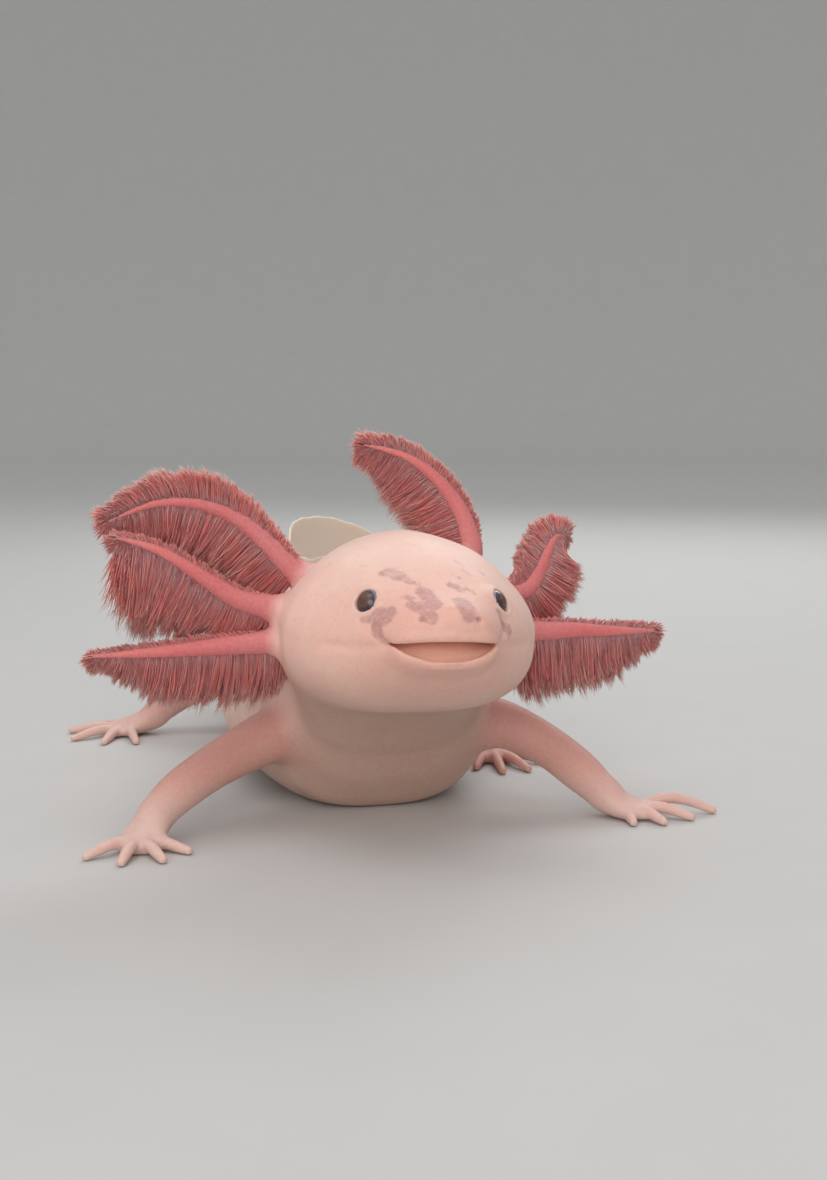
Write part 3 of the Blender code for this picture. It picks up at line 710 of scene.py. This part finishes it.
def smooth(mesh):
    mesh.polygons.foreach_set("use_smooth", np.full(len(mesh.polygons), True))


def mesh_object(name, points, faces):
    """A smooth object from points in millimetres and faces."""
    mesh = bpy.data.meshes.new(name)
    mesh.from_pydata(np.array(points) * MM, [], faces)
    mesh.validate()
    smooth(mesh)
    return show(name, mesh)


def points_of(mesh):
    co = np.zeros(len(mesh.vertices) * 3, FLOAT)
    mesh.vertices.foreach_get("co", co)
    return co.reshape(-1, 3) / MM


def put(mesh, name, values):
    layer = mesh.attributes.new(name, "FLOAT", "POINT")
    layer.data.foreach_set("value", values.astype(FLOAT))


def build_skin():
    points, quads = surface_nets(sampled())
    obj = mesh_object("skin", settle(points), quads)
    fewer = SKIN_TRIANGLES / (2 * len(quads))
    if fewer < 1:
        modifier = obj.modifiers.new("fewer", "DECIMATE")
        modifier.ratio = fewer
        graph = bpy.context.evaluated_depsgraph_get()
        mesh = bpy.data.meshes.new_from_object(obj.evaluated_get(graph))
        obj.modifiers.clear()
        obj.data = mesh
        mesh.vertices.foreach_set("co", (settle(points_of(mesh)) * MM).astype(FLOAT).ravel())
        smooth(mesh)
        mesh.update()
    mark_skin(obj.data)
    return obj


# ---- where each tone lies on the skin
# strokes of darker skin: both ends as distance from the snout, sideways and height, then radius and strength
SMUDGES = (
    (17.4, -10.8, 44.5, 16.8, -9.8, 44.8, 0.7, 0.35), (16.3, -8.6, 45, 16, -7.9, 45.1, 0.6, 0.4),
    (14.4, -6, 44.6, 13.8, -5.2, 44.5, 0.7, 0.4), (13.6, -6.7, 44, 12, -5, 43.8, 1.3, 0.6),
    (11.2, -4.9, 43.4, 9.6, -2.8, 43, 0.75, 0.62), (7.4, -2.4, 42.2, 5.6, -2.1, 41.6, 1.35, 0.9),
    (4.8, -2, 41.4, 2, -2.2, 40.6, 1.4, 0.92), (7, -5.2, 41.5, 5.8, -4.5, 41.3, 0.75, 0.62),
    (4.4, -4.9, 40.7, 2.4, -4.2, 40.3, 1.05, 0.85), (1.6, -3.8, 39.9, 0.3, -2.8, 39, 1.15, 0.7),
    (9.2, 2.2, 43, 8, 3.4, 42.3, 0.95, 0.68), (8.7, 4.5, 42.3, 8.2, 5.4, 41.9, 0.6, 0.65),
    (3.7, 2.7, 41.1, 1.7, 2.5, 40.5, 1.8, 0.9), (1, 2.4, 40.1, 0.4, 2.5, 39.6, 1.4, 0.8),
    (16.2, 4.6, 45.8, 15.2, 6.1, 45.3, 0.7, 0.32), (11.8, 3.1, 43.9, 11.4, 4, 43.7, 0.6, 0.5),
    (13.4, 5.4, 44.4, 12.8, 6.6, 44, 0.6, 0.4), (15, 8.8, 44.2, 14.6, 9.6, 43.8, 0.55, 0.6),
    (6.4, -9, 38.4, 5.6, -8.2, 38.7, 1.8, 1), (8.6, -11, 37.7, 7, -9.8, 38, 0.7, 0.6),
    (6.1, -9.7, 37.2, 5.7, -9.2, 36.3, 1.1, 0.9), (5.6, -9.5, 35.8, 4.3, -8.3, 35.2, 0.7, 0.6),
    (7.2, 9.1, 39, 6, 9.5, 37.4, 0.75, 0.95), (6, 9.5, 37.4, 7.6, 11, 36.3, 0.85, 0.95),
    (7.2, 10.7, 36, 6.9, 10.5, 35.3, 0.6, 0.65))


def smudge_share(s, x, z):
    share = np.zeros(len(s))
    for *ends, radius, strength in SMUDGES:
        distance = stroke_distance(np.stack([s, x, z], 1), ends[:3], ends[3:])
        share = np.maximum(share, strength * fading(distance / radius, 0.55, 0.75))
    return share


def mark_skin(mesh):
    """Writes for each point how far it belongs to each tone of the skin."""
    p = points_of(mesh)
    s, x, z = straighten(p)
    cut = sections(s)
    body = body_distance(s, x, z, cut)
    middle, (top, bottom) = cut[3], cut[12:]
    level = (z - middle) / np.where(z > middle, top - middle, middle - bottom)
    flesh = fading(body, 1, 3)
    stalk = np.full(len(p), FAR)
    along = np.zeros(len(p))
    for tube in STALK_TUBES:
        distance, place = tube.distance(p)
        closer = distance < stalk
        stalk = np.where(closer, distance, stalk)
        along = np.where(closer, place, along)
    limb = limb_distance(p)
    fin = np.zeros(len(p))
    for reach, height, first in ((cut[10], z - top, 36), (cut[11], bottom - z, 118)):
        share = np.where(reach > 0.2, height / np.maximum(reach, 0.5), 0) * (s > first)
        fin = np.maximum(fin, rising(reach * share, 0.3, 1.4 + 0.42 * reach))
    put(mesh, "fin", fin * (limb > 0.5) * (stalk > 0.5))
    put(mesh, "stalk", rising(body, -0.6, 3.2) * fading(stalk, 0.3, 1.5))
    put(mesh, "stalk_place", along)
    put(mesh, "limb", rising(body, -1.2, 4) * fading(limb, 0.5, 3.5))
    put(mesh, "toe", blend(0, 1, (11 - z) / 9) * rising(body, 6, 14) * fading(limb, 0.5, 1.5))
    put(mesh, "mouth", fading(mouth_distance(s, x, z), -0.05, 0.35) * (s < 14) * (np.abs(z - 35) < 5))
    put(mesh, "smudge", smudge_share(s, x, z) * flesh)
    put(mesh, "nostril", nostril_share(s, x, z))
    # painted shade: the lower side of the body, from chin and throat to belly, is darkened, less so towards
    # the snout
    put(mesh, "underside_shade", rising(-level, 0.1, 0.7) * blend(0.1, 1, (s - 2) / 34) * flesh)
    put(mesh, "snout", fading(s, 2, 22) * flesh)
    put(mesh, "neck", bump(s - 36, 6.5) * rising(np.abs(x), 9, 7) * fading(np.abs(z - 35), 6, 8))


# ---- gill filaments
def fringe_reach(t, root_reach, middle_reach, tip_reach):
    """How far a fringe reaches from the stalk's middle line, t running along the fringe from 0 to 1."""
    return blend(root_reach, middle_reach, t * 2) + blend(0, tip_reach - middle_reach, t * 2 - 1)


def unit(v):
    return v / np.maximum(np.linalg.norm(v, axis=-1, keepdims=True), 1e-6)


STRANDS = 6400  # filaments of one gill
STRAND_RINGS = 5  # and then a pointed tip
STRAND_SIDES = 3
STRAND_R = 0.13
STRAND_TIP_R = 0.06
LOCK_MM = 0.8  # filaments rooted within this length of the stalk hang together
ROWS = np.array((-1.25, -0.8, -0.4, 0.0, 0.4, 0.8, 1.2))  # angles from the fringe's side at which locks root
TUFT_PATCH = 0.003  # width of one strand on the UV map
UV_EDGE, UV_SIZE = 0.03, 0.93
FLOOR_GAP = 0.4  # strands stay this far above the floor
END_REACH = 3.2  # of the strands that point straight on from the stalk's tip


def filament_mesh(name, random, rows):
    """Joined closed strands, from the columns that fringe gives."""
    root, gather, ahead, bend, hook, length, place, around = rows
    count = len(root)
    u = (np.linspace(0, 1, STRAND_RINGS + 1) ** 0.9)[None, :, None]
    wander = unit(np.cross(ahead, bend))
    sway = random.normal(0, 0.016, (count, 1, 1)) * np.sin(u * random.uniform(3, 6, (count, 1, 1)))
    run = ahead[:, None] * (u - 0.18 * u ** 2) + bend[:, None] * u ** 2 + hook[:, None] * u ** 4
    line = root[:, None] + gather[:, None] * u ** 1.4 + length[:, None, None] * (run + wander[:, None] * sway)
    line[..., 2] = np.maximum(line[..., 2], FLOOR_GAP)
    tangent = unit(np.gradient(line, axis=1))
    first = unit(np.cross(tangent, wander[:, None]))
    second = np.cross(tangent, first)
    size = random.uniform(0.8, 1.2, (count, 1, 1))
    radius = (STRAND_R + (STRAND_TIP_R - STRAND_R) * u ** 1.2) * size
    angle = (np.arange(STRAND_SIDES) * 2 * math.pi / STRAND_SIDES)[None, None, :, None]
    ring = line[:, :, None] + radius[:, :, None] * (first[:, :, None] * np.cos(angle)
                                                    + second[:, :, None] * np.sin(angle))
    ring = ring[:, :-1].reshape(count, -1, 3)
    points = np.concatenate([ring, line[:, -1:]], 1).reshape(-1, 3)
    each = STRAND_RINGS * STRAND_SIDES + 1
    faces = [(0, 1, 2)]
    for a in range(each - 1):
        b = a + 1 if (a + 1) % STRAND_SIDES else a + 1 - STRAND_SIDES
        if a + STRAND_SIDES < each - 1:
            faces += [(a, a + STRAND_SIDES, b), (b, a + STRAND_SIDES, b + STRAND_SIDES)]
        else:
            faces.append((a, each - 1, b))
    faces = ((np.arange(count) * each)[:, None, None] + np.array(faces)).reshape(-1, 3)
    obj = mesh_object(name, points, faces)
    mesh = obj.data
    outward = np.append(np.repeat(u[0, :-1, 0], STRAND_SIDES), 1)
    across = np.append(np.tile(np.arange(STRAND_SIDES) / STRAND_SIDES, STRAND_RINGS), 0.5)
    put(mesh, "outward", np.tile(outward, count))
    put(mesh, "strand", np.repeat(random.uniform(0, 1, count), each))
    put(mesh, "stalk_place", np.repeat(place, each))
    patches = ((place, across), (around / (2 * math.pi) % 1, outward))
    uv = np.stack([UV_EDGE + UV_SIZE * np.repeat(root_place, each) + TUFT_PATCH * np.tile(within, count)
                   for root_place, within in patches], 1)
    layer = mesh.uv_layers.new(name="OFBake")
    corner = np.zeros(len(mesh.loops), np.int32)
    mesh.loops.foreach_get("vertex_index", corner)
    layer.data.foreach_set("uv", uv[corner].astype(FLOAT).ravel())
    return obj


def fringe(random, line, side, sign, wing, amount):
    """One fringe of a gill: locks of filaments that root on one side of the stalk and hang together."""
    *reaches, lean, root_forward, tip_forward = wing
    total = np.linalg.norm(np.diff(line, axis=0), axis=1).sum()
    headings = unit(np.gradient(line, axis=0))
    locks = int(total / LOCK_MM)
    long_side = max(reaches) > 5
    first = FRINGE_FROM * (0.55 if long_side else 1)

    def at(t, turn):
        """Root, way out, way across and heading for places along and round the stalk."""
        k = np.clip(t * (len(line) - 1), 0, len(line) - 1.001)
        near, share = k.astype(int), (k % 1)[:, None]
        centre = line[near] * (1 - share) + line[near + 1] * share
        along = unit(headings[near] * (1 - share) + headings[near + 1] * share)
        way = unit(np.cross(along, np.array((0, side, 0))) * sign + np.array((0, lean, 0)))
        way = unit(way - along * (way * along).sum(1, keepdims=True))
        across = np.cross(along, way)
        out = way * np.cos(turn)[:, None] + across * np.sin(turn)[:, None]
        return centre + out * (stalk_radius(t) * 0.75)[:, None], way, across, along

    t = first + (1 - first) * (np.arange(amount) + random.uniform(0, 1, amount)) / amount
    row = random.integers(0, len(ROWS), amount)
    lock = (np.minimum((t * locks).astype(int), locks - 1), row)
    lock_t = (lock[0] + 0.5 + random.uniform(-0.3, 0.3, (locks, len(ROWS)))[lock]) / locks
    turn = ROWS[row] + random.normal(0, 0.16, amount)
    root, way, across, along = at(t, turn)
    lock_root = at(lock_t, ROWS[row])[0]

    def by_lock(size):
        return random.normal(0, size, (locks, len(ROWS)))[lock]

    tip = rising(t, 0.86, 0.14)
    fan = (turn * 0.12 + by_lock(0.02))[:, None]
    swing = (root_forward + (tip_forward - root_forward) * t + 0.03 * np.sin(t * 31) + by_lock(0.02)
             + random.normal(0, 0.018, amount))
    swing = np.arctan(swing) * (1 - tip) + random.uniform(math.atan(tip_forward), 1.75, amount) * tip
    out = way * np.cos(fan) + across * np.sin(fan)
    ahead = unit(out * np.cos(swing)[:, None] + along * np.sin(swing)[:, None])
    grown = fringe_reach((t - FRINGE_FROM) / (1 - FRINGE_FROM), *reaches)
    if not long_side:
        grown = grown + 1 + stalk_radius(t) * 0.3
    uneven = 1 + 0.03 * np.sin(t * 53) + by_lock(0.045)
    short = random.triangular(0.62, 1, 1.06, amount)
    grown = grown + np.minimum(END_REACH - grown, 0) * blend(0, 1, (swing - math.atan(tip_forward)) / 0.8)
    length = np.maximum(grown * uneven * short - stalk_radius(t) * 0.5, 1.2)
    length = length * blend(0.5, 1, (t - first) / 0.10)
    sweep = 0.08 + by_lock(0.04) + random.normal(0, 0.02, amount)
    droop = np.array((0, 0.10, -0.28)) * random.uniform(0.4, 0.8, amount)[:, None]
    bend = along * sweep[:, None]
    bend = bend + across * (by_lock(0.025) + random.normal(0, 0.012, amount))[:, None] + droop
    hook = (along * (0.04 + by_lock(0.04))[:, None] + across * by_lock(0.03)[:, None]
            + np.array((0, 0, 1)) * by_lock(0.03)[:, None])
    gather = (lock_root - root) * 0.55
    around = turn if sign > 0 else turn + math.pi
    return root, gather, ahead, bend, hook, length, t, around


def build_filaments(name, seed):
    random = np.random.default_rng(seed)
    line = stalk_line(name, FRINGE_POINTS)
    _, side, *wings = GILLS[name]
    sizes = np.array([max(wing[:3]) + 1.5 for wing in wings]) ** 0.9
    parts = []
    for sign, wing, size in zip((1, -1), wings, sizes):
        parts.append(fringe(random, line, side, sign, wing, int(STRANDS * size / sizes.sum())))
    rows = [np.concatenate(column) for column in zip(*parts)]
    return filament_mesh(name.replace("gill", "gill_filaments"), random, rows)


# ---- turned shapes and eyes
def turned_mesh(name, centre, axis, beside, sides, profile):
    """A smooth object turned round an axis, from rows of height and radius. The first row is one point, and
    so is the last if its radius is 0."""
    first = unit(np.cross(axis, beside))
    second = np.cross(axis, first)
    points, faces = [centre + axis * profile[0][0]], []
    rings = len(profile) - 1 if profile[-1][1] else len(profile) - 2
    for height, radius in profile[1:rings + 1]:
        for k in range(sides):
            turn = 2 * math.pi * k / sides
            around = first * math.cos(turn) + second * math.sin(turn)
            points.append(centre + axis * height + around * radius)
    for k in range(sides):
        b = (k + 1) % sides
        faces.append((0, 1 + k, 1 + b))
        for a in range(1, 1 + (rings - 1) * sides, sides):
            faces.append((a + k, a + sides + k, a + sides + b, a + b))
    if not profile[-1][1]:
        last = 1 + (rings - 1) * sides
        faces += [(last + k, len(points), last + (k + 1) % sides) for k in range(sides)]
        points.append(centre + axis * profile[-1][0])
    return mesh_object(name, points, faces)


EYE_RINGS, EYE_SIDES = 39, 48


def build_eye(side):
    """A ball with a slightly domed front; the attribute tells how far from its axis a point is."""
    centre, axis = EYES[side]
    angles = np.linspace(0, math.pi, EYE_RINGS + 2)
    size = EYE_R * (1 + 0.02 * bump(angles, 0.6))
    radii = np.sin(angles) * size
    radii[-1] = 0
    profile = list(zip(np.cos(angles) * size, radii))
    eye = turned_mesh("eyeball_" + side, centre, axis, (0, 0, 1), EYE_SIDES, profile)
    put(eye.data, "away", np.repeat(angles, [1] + [EYE_SIDES] * EYE_RINGS + [1]))
    return eye


# ---- materials
class Nodes:
    """A small helper for writing a material's node tree."""

    def __init__(self, name):
        self.material = bpy.data.materials.new(name)
        self.material.use_nodes = True
        self.tree = self.material.node_tree
        self.shader = self.tree.nodes["Principled BSDF"]
        self.place = self.add("TexCoord").outputs["Object"]
        self.colour = None

    def add(self, kind, inputs=(), **settings):
        node = self.tree.nodes.new("ShaderNode" + kind)
        for key, value in settings.items():
            setattr(node, key, value)
        for key, value in dict(inputs).items():
            self.feed(node.inputs[key], value)
        return node

    def feed(self, socket, value):
        if isinstance(value, bpy.types.NodeSocket):
            self.tree.links.new(value, socket)
        elif isinstance(value, tuple) and len(socket.default_value) == 4:
            socket.default_value = (*value, 1)
        else:
            socket.default_value = value

    def mask(self, name, share=None):
        """One of the mesh's attributes, or a share of it."""
        value = self.add("Attribute", attribute_name=name).outputs["Fac"]
        return value if share is None else self.math("MULTIPLY", value, share)

    def noise(self, per_mm, detail=3, rough=0.55, distortion=0):
        return self.add("TexNoise", {"Vector": self.place, "Scale": per_mm / MM, "Detail": detail,
                                     "Roughness": rough, "Distortion": distortion}).outputs["Fac"]

    def cells(self, per_mm):
        return self.add("TexVoronoi", {"Vector": self.place, "Scale": per_mm / MM}).outputs["Distance"]

    def ranged(self, value, low, high, to_low=0, to_high=1):
        return self.add("MapRange", {"Value": value, "From Min": low, "From Max": high, "To Min": to_low,
                                     "To Max": to_high}, interpolation_type="SMOOTHSTEP").outputs["Result"]

    def math(self, operation, *values):
        return self.add("Math", enumerate(values), operation=operation).outputs[0]

    def mix(self, share, first, second):
        return self.add("Mix", {"Factor": share, 6: first, 7: second}, data_type="RGBA").outputs[2]

    def paint(self, share, tone):
        """Puts a tone over the colour so far."""
        self.colour = self.mix(share, self.colour, tone)

    def relief(self, height, distance_mm, strength):
        return self.add("Bump", {"Height": height, "Distance": distance_mm * MM,
                                 "Strength": strength}).outputs["Normal"]

    def finish(self, **values):
        """Sets the shader's own inputs."""
        for key, value in values.items():
            self.feed(self.shader.inputs[key.replace("_", " ")], value)
        return self.material


def linear(red, green, blue):
    """A colour given in the usual 0 to 255 steps, as light."""
    shares = (red / 255, green / 255, blue / 255)
    return tuple(c / 12.92 if c <= 0.04 else ((c + 0.055) / 1.055) ** 2.4 for c in shares)


PALE = linear(240, 208, 193)
ROSE = linear(236, 196, 182)
SNOUT_PINK = linear(224, 170, 154)
# the colour of painted shade on the underside
BELLY_SHADE = linear(170, 140, 124)
BLOOD = linear(204, 108, 106)
STALK_ROOT = linear(204, 124, 124)
STALK_RED = linear(200, 104, 106)
STALK_TIP = linear(216, 116, 112)
# the limbs' own pink, made darker as painted shade
LIMB_PINK_SHADED = linear(194, 138, 127)
TOE_PALE = linear(217, 186, 175)
FIN_CREAM = linear(224, 210, 190)
SMUDGE_MAUVE = linear(188, 140, 134)
MOUTH_PINK = linear(226, 170, 148)
# painted shade in the nostril openings
NOSTRIL_SHADE = linear(150, 104, 98)
FILAMENT_ROOT = linear(254, 132, 130)
FILAMENT_RED = linear(254, 114, 108)
FILAMENT_DEEP = linear(252, 92, 88)
FILAMENT_TIP = linear(252, 172, 156)
EYE_TONES = ((linear(92, 60, 46), linear(112, 80, 68)),  # pupil, ring round it and rim, dark and light
             (linear(54, 40, 44), linear(70, 56, 66)),
             (linear(128, 120, 148), linear(170, 158, 172)))


def skin_material():
    m = Nodes("skin_material")
    medium = m.noise(0.45, 4, 0.6)
    fine = m.noise(2.2, 3, 0.6)
    m.colour = m.mix(m.ranged(m.noise(0.09, 4, 0.6), 0.32, 0.70), PALE, ROSE)
    m.paint(m.mask("snout", 0.75), SNOUT_PINK)
    # painted shade on the chin, throat and belly
    m.paint(m.mask("underside_shade", 0.8), BELLY_SHADE)
    m.paint(m.math("MULTIPLY", m.mask("neck"), m.ranged(medium, 0.3, 0.7, 0.35, 0.8)), STALK_ROOT)
    # limbs: their own pink made darker as painted shade, paling to the hands and feet near the floor
    m.paint(m.mask("limb", 0.85), LIMB_PINK_SHADED)
    m.paint(m.mask("toe", 0.95), TOE_PALE)
    m.paint(m.ranged(m.noise(0.8, 4, 0.65, 1.5), 0.5, 0.72, 0, 0.16), BLOOD)
    red = m.mix(m.ranged(m.mask("stalk_place"), 0.15, 0.6), STALK_ROOT, STALK_RED)
    red = m.mix(m.ranged(m.mask("stalk_place"), 0.5, 0.95), red, STALK_TIP)
    red = m.mix(m.ranged(m.noise(1.1, 4, 0.6, 0.8), 0.45, 0.7, 0, 0.5), red, BLOOD)
    m.paint(m.mask("stalk"), red)
    rays = m.ranged(m.noise(0.5, 3, 0.6, 2), 0.4, 0.75, 0, 0.4)
    m.paint(m.mask("fin"), m.mix(rays, FIN_CREAM, ROSE))
    m.paint(m.mask("mouth"), m.mix(m.ranged(medium, 0.4, 0.65, 0, 0.4), MOUTH_PINK, SNOUT_PINK))
    ragged = m.math("MULTIPLY", m.math("SUBTRACT", m.noise(0.6, 4, 0.6, 0.3), 0.5), 1.2)
    edges = m.ranged(m.math("ADD", m.mask("smudge"), ragged), 0.02, 0.86)
    flecks = m.ranged(m.noise(1.1, 3, 0.55, 0.3), 0.45, 0.65, 0.90, 0.65)
    near = m.math("MULTIPLY", m.ranged(m.mask("smudge"), 0.02, 0.5), flecks)
    m.paint(m.math("MULTIPLY", edges, near), SMUDGE_MAUVE)
    # painted shade in the nostril openings
    m.paint(m.mask("nostril", 0.7), NOSTRIL_SHADE)
    m.paint(m.ranged(fine, 0.35, 0.7, 0, 0.10), PALE)
    grain = m.math("ADD", m.math("MULTIPLY", fine, 0.6), m.math("MULTIPLY", m.noise(0.9, 4, 0.6), 1.2))
    dimples = m.ranged(m.cells(1.3), 0, 0.35, -0.35, 0)
    return m.finish(
        Base_Color=m.colour, Normal=m.relief(m.math("ADD", grain, dimples), 0.10, 0.55),
        Roughness=m.ranged(m.noise(0.6, 3, 0.6), 0.3, 0.7, 0.50, 0.64), Specular_IOR_Level=0.26,
        Subsurface_Weight=0.45, Subsurface_Scale=0.0022, Subsurface_Radius=(1, 0.42, 0.30),
        Coat_Weight=0.03, Coat_Roughness=0.3)


def filament_material():
    m = Nodes("filament_material")
    outward = m.mask("outward")
    m.colour = m.mix(m.ranged(outward, 0, 0.5), FILAMENT_ROOT, FILAMENT_RED)
    m.paint(m.ranged(outward, 0.65, 1, 0, 0.8), FILAMENT_TIP)
    m.paint(m.ranged(m.mask("strand"), 0.55, 1, 0, 0.3), FILAMENT_TIP)
    m.paint(m.ranged(m.noise(0.6, 3, 0.6), 0.4, 0.7, 0, 0.5), FILAMENT_DEEP)
    return m.finish(
        Base_Color=m.colour, Normal=m.relief(m.noise(4, 3, 0.6), 0.05, 0.5),
        Roughness=m.ranged(m.noise(1.5), 0.3, 0.7, 0.36, 0.5), Specular_IOR_Level=0.22,
        Subsurface_Weight=0.8, Subsurface_Scale=0.002, Subsurface_Radius=(1, 0.35, 0.28),
        Coat_Weight=0.03, Coat_Roughness=0.3,
        Sheen_Weight=0.35, Sheen_Roughness=0.5, Sheen_Tint=(1, 0.55, 0.52))


def eye_material():
    m = Nodes("eye_material")
    uneven = m.math("MULTIPLY", m.math("SUBTRACT", m.noise(1.6, 3, 0.6), 0.5), 0.05)
    away = m.math("ADD", m.mask("away"), uneven)
    flecks = m.ranged(m.noise(3.5, 5, 0.7, 0.4), 0.45, 0.7, 0, 0.45)
    pupil, ring, rim = [m.mix(flecks, dark, light) for dark, light in EYE_TONES]
    m.colour = m.mix(m.ranged(away, 0.45, 0.62), pupil, ring)
    m.paint(m.ranged(away, 0.80, 0.86), rim)
    return m.finish(
        Base_Color=m.colour, Normal=m.relief(m.noise(3, 2), 0.02, 0.3),
        Roughness=m.ranged(m.noise(2), 0.3, 0.7, 0.26, 0.36), Coat_Weight=0.25, Coat_Roughness=0.16)


def floor_material():
    m = Nodes("floor_material")
    tone = m.ranged(m.noise(0.05, 3, 0.6), 0.3, 0.7)
    return m.finish(Base_Color=m.mix(tone, (0.56, 0.55, 0.535), (0.57, 0.56, 0.545)), Roughness=0.8,
                    Normal=m.relief(m.noise(0.3, 3), 0.1, 0.1))


# ---- stage, lights and camera
FLOOR_FLAT, FLOOR_RIM, FLOOR_HEIGHT, FLOOR_SIDES = 1500.0, 2300.0, 1300.0, 96
FLAT_RINGS, CURVED_RINGS = 4, 12


def build_stage():
    """A wide pale floor that curves up into a backdrop all round."""
    profile = [(0, FLOOR_FLAT * k / FLAT_RINGS) for k in range(FLAT_RINGS + 1)]
    for k in range(1, CURVED_RINGS + 1):
        angle = math.pi / 2 * k / CURVED_RINGS
        radius = FLOOR_FLAT + (FLOOR_RIM - FLOOR_FLAT) * math.sin(angle)
        profile.append((FLOOR_HEIGHT * (1 - math.cos(angle)), radius))
    up = np.array((0, 0, 1))
    floor = turned_mesh("floor", np.zeros(3), up, (0, -1, 0), FLOOR_SIDES, profile)
    floor.data.materials.append(floor_material())


def aimed(name, data, place, ahead):
    """A light or camera at a place in millimetres."""
    obj = show(name, data)
    obj.location = Vector(place) * MM
    obj.rotation_mode = "QUATERNION"
    obj.rotation_quaternion = ahead.to_track_quat("-Z", "Y")
    return obj


CAMERA_PLACE = (-55.9, -274.4, 68.9)
CAMERA_TURN = math.radians(14.0)
CAMERA_DOWN = math.radians(7.0)
CAMERA_LENS = 45.76
CAMERA_SENSOR = 36.0


def build_camera():
    data = bpy.data.cameras.new("camera")
    data.lens = CAMERA_LENS
    data.sensor_width = CAMERA_SENSOR
    data.clip_start = 0.005
    data.clip_end = 20.0
    level = math.cos(CAMERA_DOWN)
    ahead = Vector((math.sin(CAMERA_TURN) * level, math.cos(CAMERA_TURN) * level, -math.sin(CAMERA_DOWN)))
    bpy.context.scene.camera = aimed("camera", data, CAMERA_PLACE, ahead)


# name, place, point it shines at, size, watts and colour
LIGHTS = (
    ("key", (-120, -160, 620), (0, -20, 20), 420, 0.8, (1, 0.98, 0.97)),
    ("fill", (-240, -730, 270), (0, -40, 35), 540, 2.75, (1, 0.98, 0.97)),
    ("back", (260, 420, 420), (0, 0, 30), 360, 1.1, (0.98, 0.99, 1)),
)


def build_lights():
    for name, place, target, size, power, colour in LIGHTS:
        light = bpy.data.lights.new(name, "AREA")
        light.shape = "DISK"
        light.size = size * MM
        light.energy = power
        light.color = colour
        aimed(name, light, place, Vector(target) - Vector(place))
    world = bpy.data.worlds.new("world")
    world.use_nodes = True
    background = world.node_tree.nodes["Background"]
    background.inputs["Color"].default_value = (0.86, 0.88, 0.90, 1)
    background.inputs["Strength"].default_value = 0.74
    bpy.context.scene.world = world
    bpy.context.scene.view_settings.view_transform = "Standard"


# ---- putting it together
FIRST_SEED = 11


def hand_over(piece, material, nodes):
    """Gives a piece its material, hangs it under the root and hides the solids that it stands for."""
    piece.data.materials.append(material)
    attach(piece, "root")
    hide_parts(*nodes)


def build():
    build_camera()
    flesh = sorted(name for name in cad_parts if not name.startswith(("eye_", "gill_")))
    hand_over(build_skin(), skin_material(), flesh)
    strands = filament_material()
    for k, name in enumerate(GILLS):
        hand_over(build_filaments(name, FIRST_SEED + k), strands, [name])
    glossy = eye_material()
    for side in EYES:
        hand_over(build_eye(side), glossy, ["eye_" + side])
    build_stage()
    build_lights()


build()
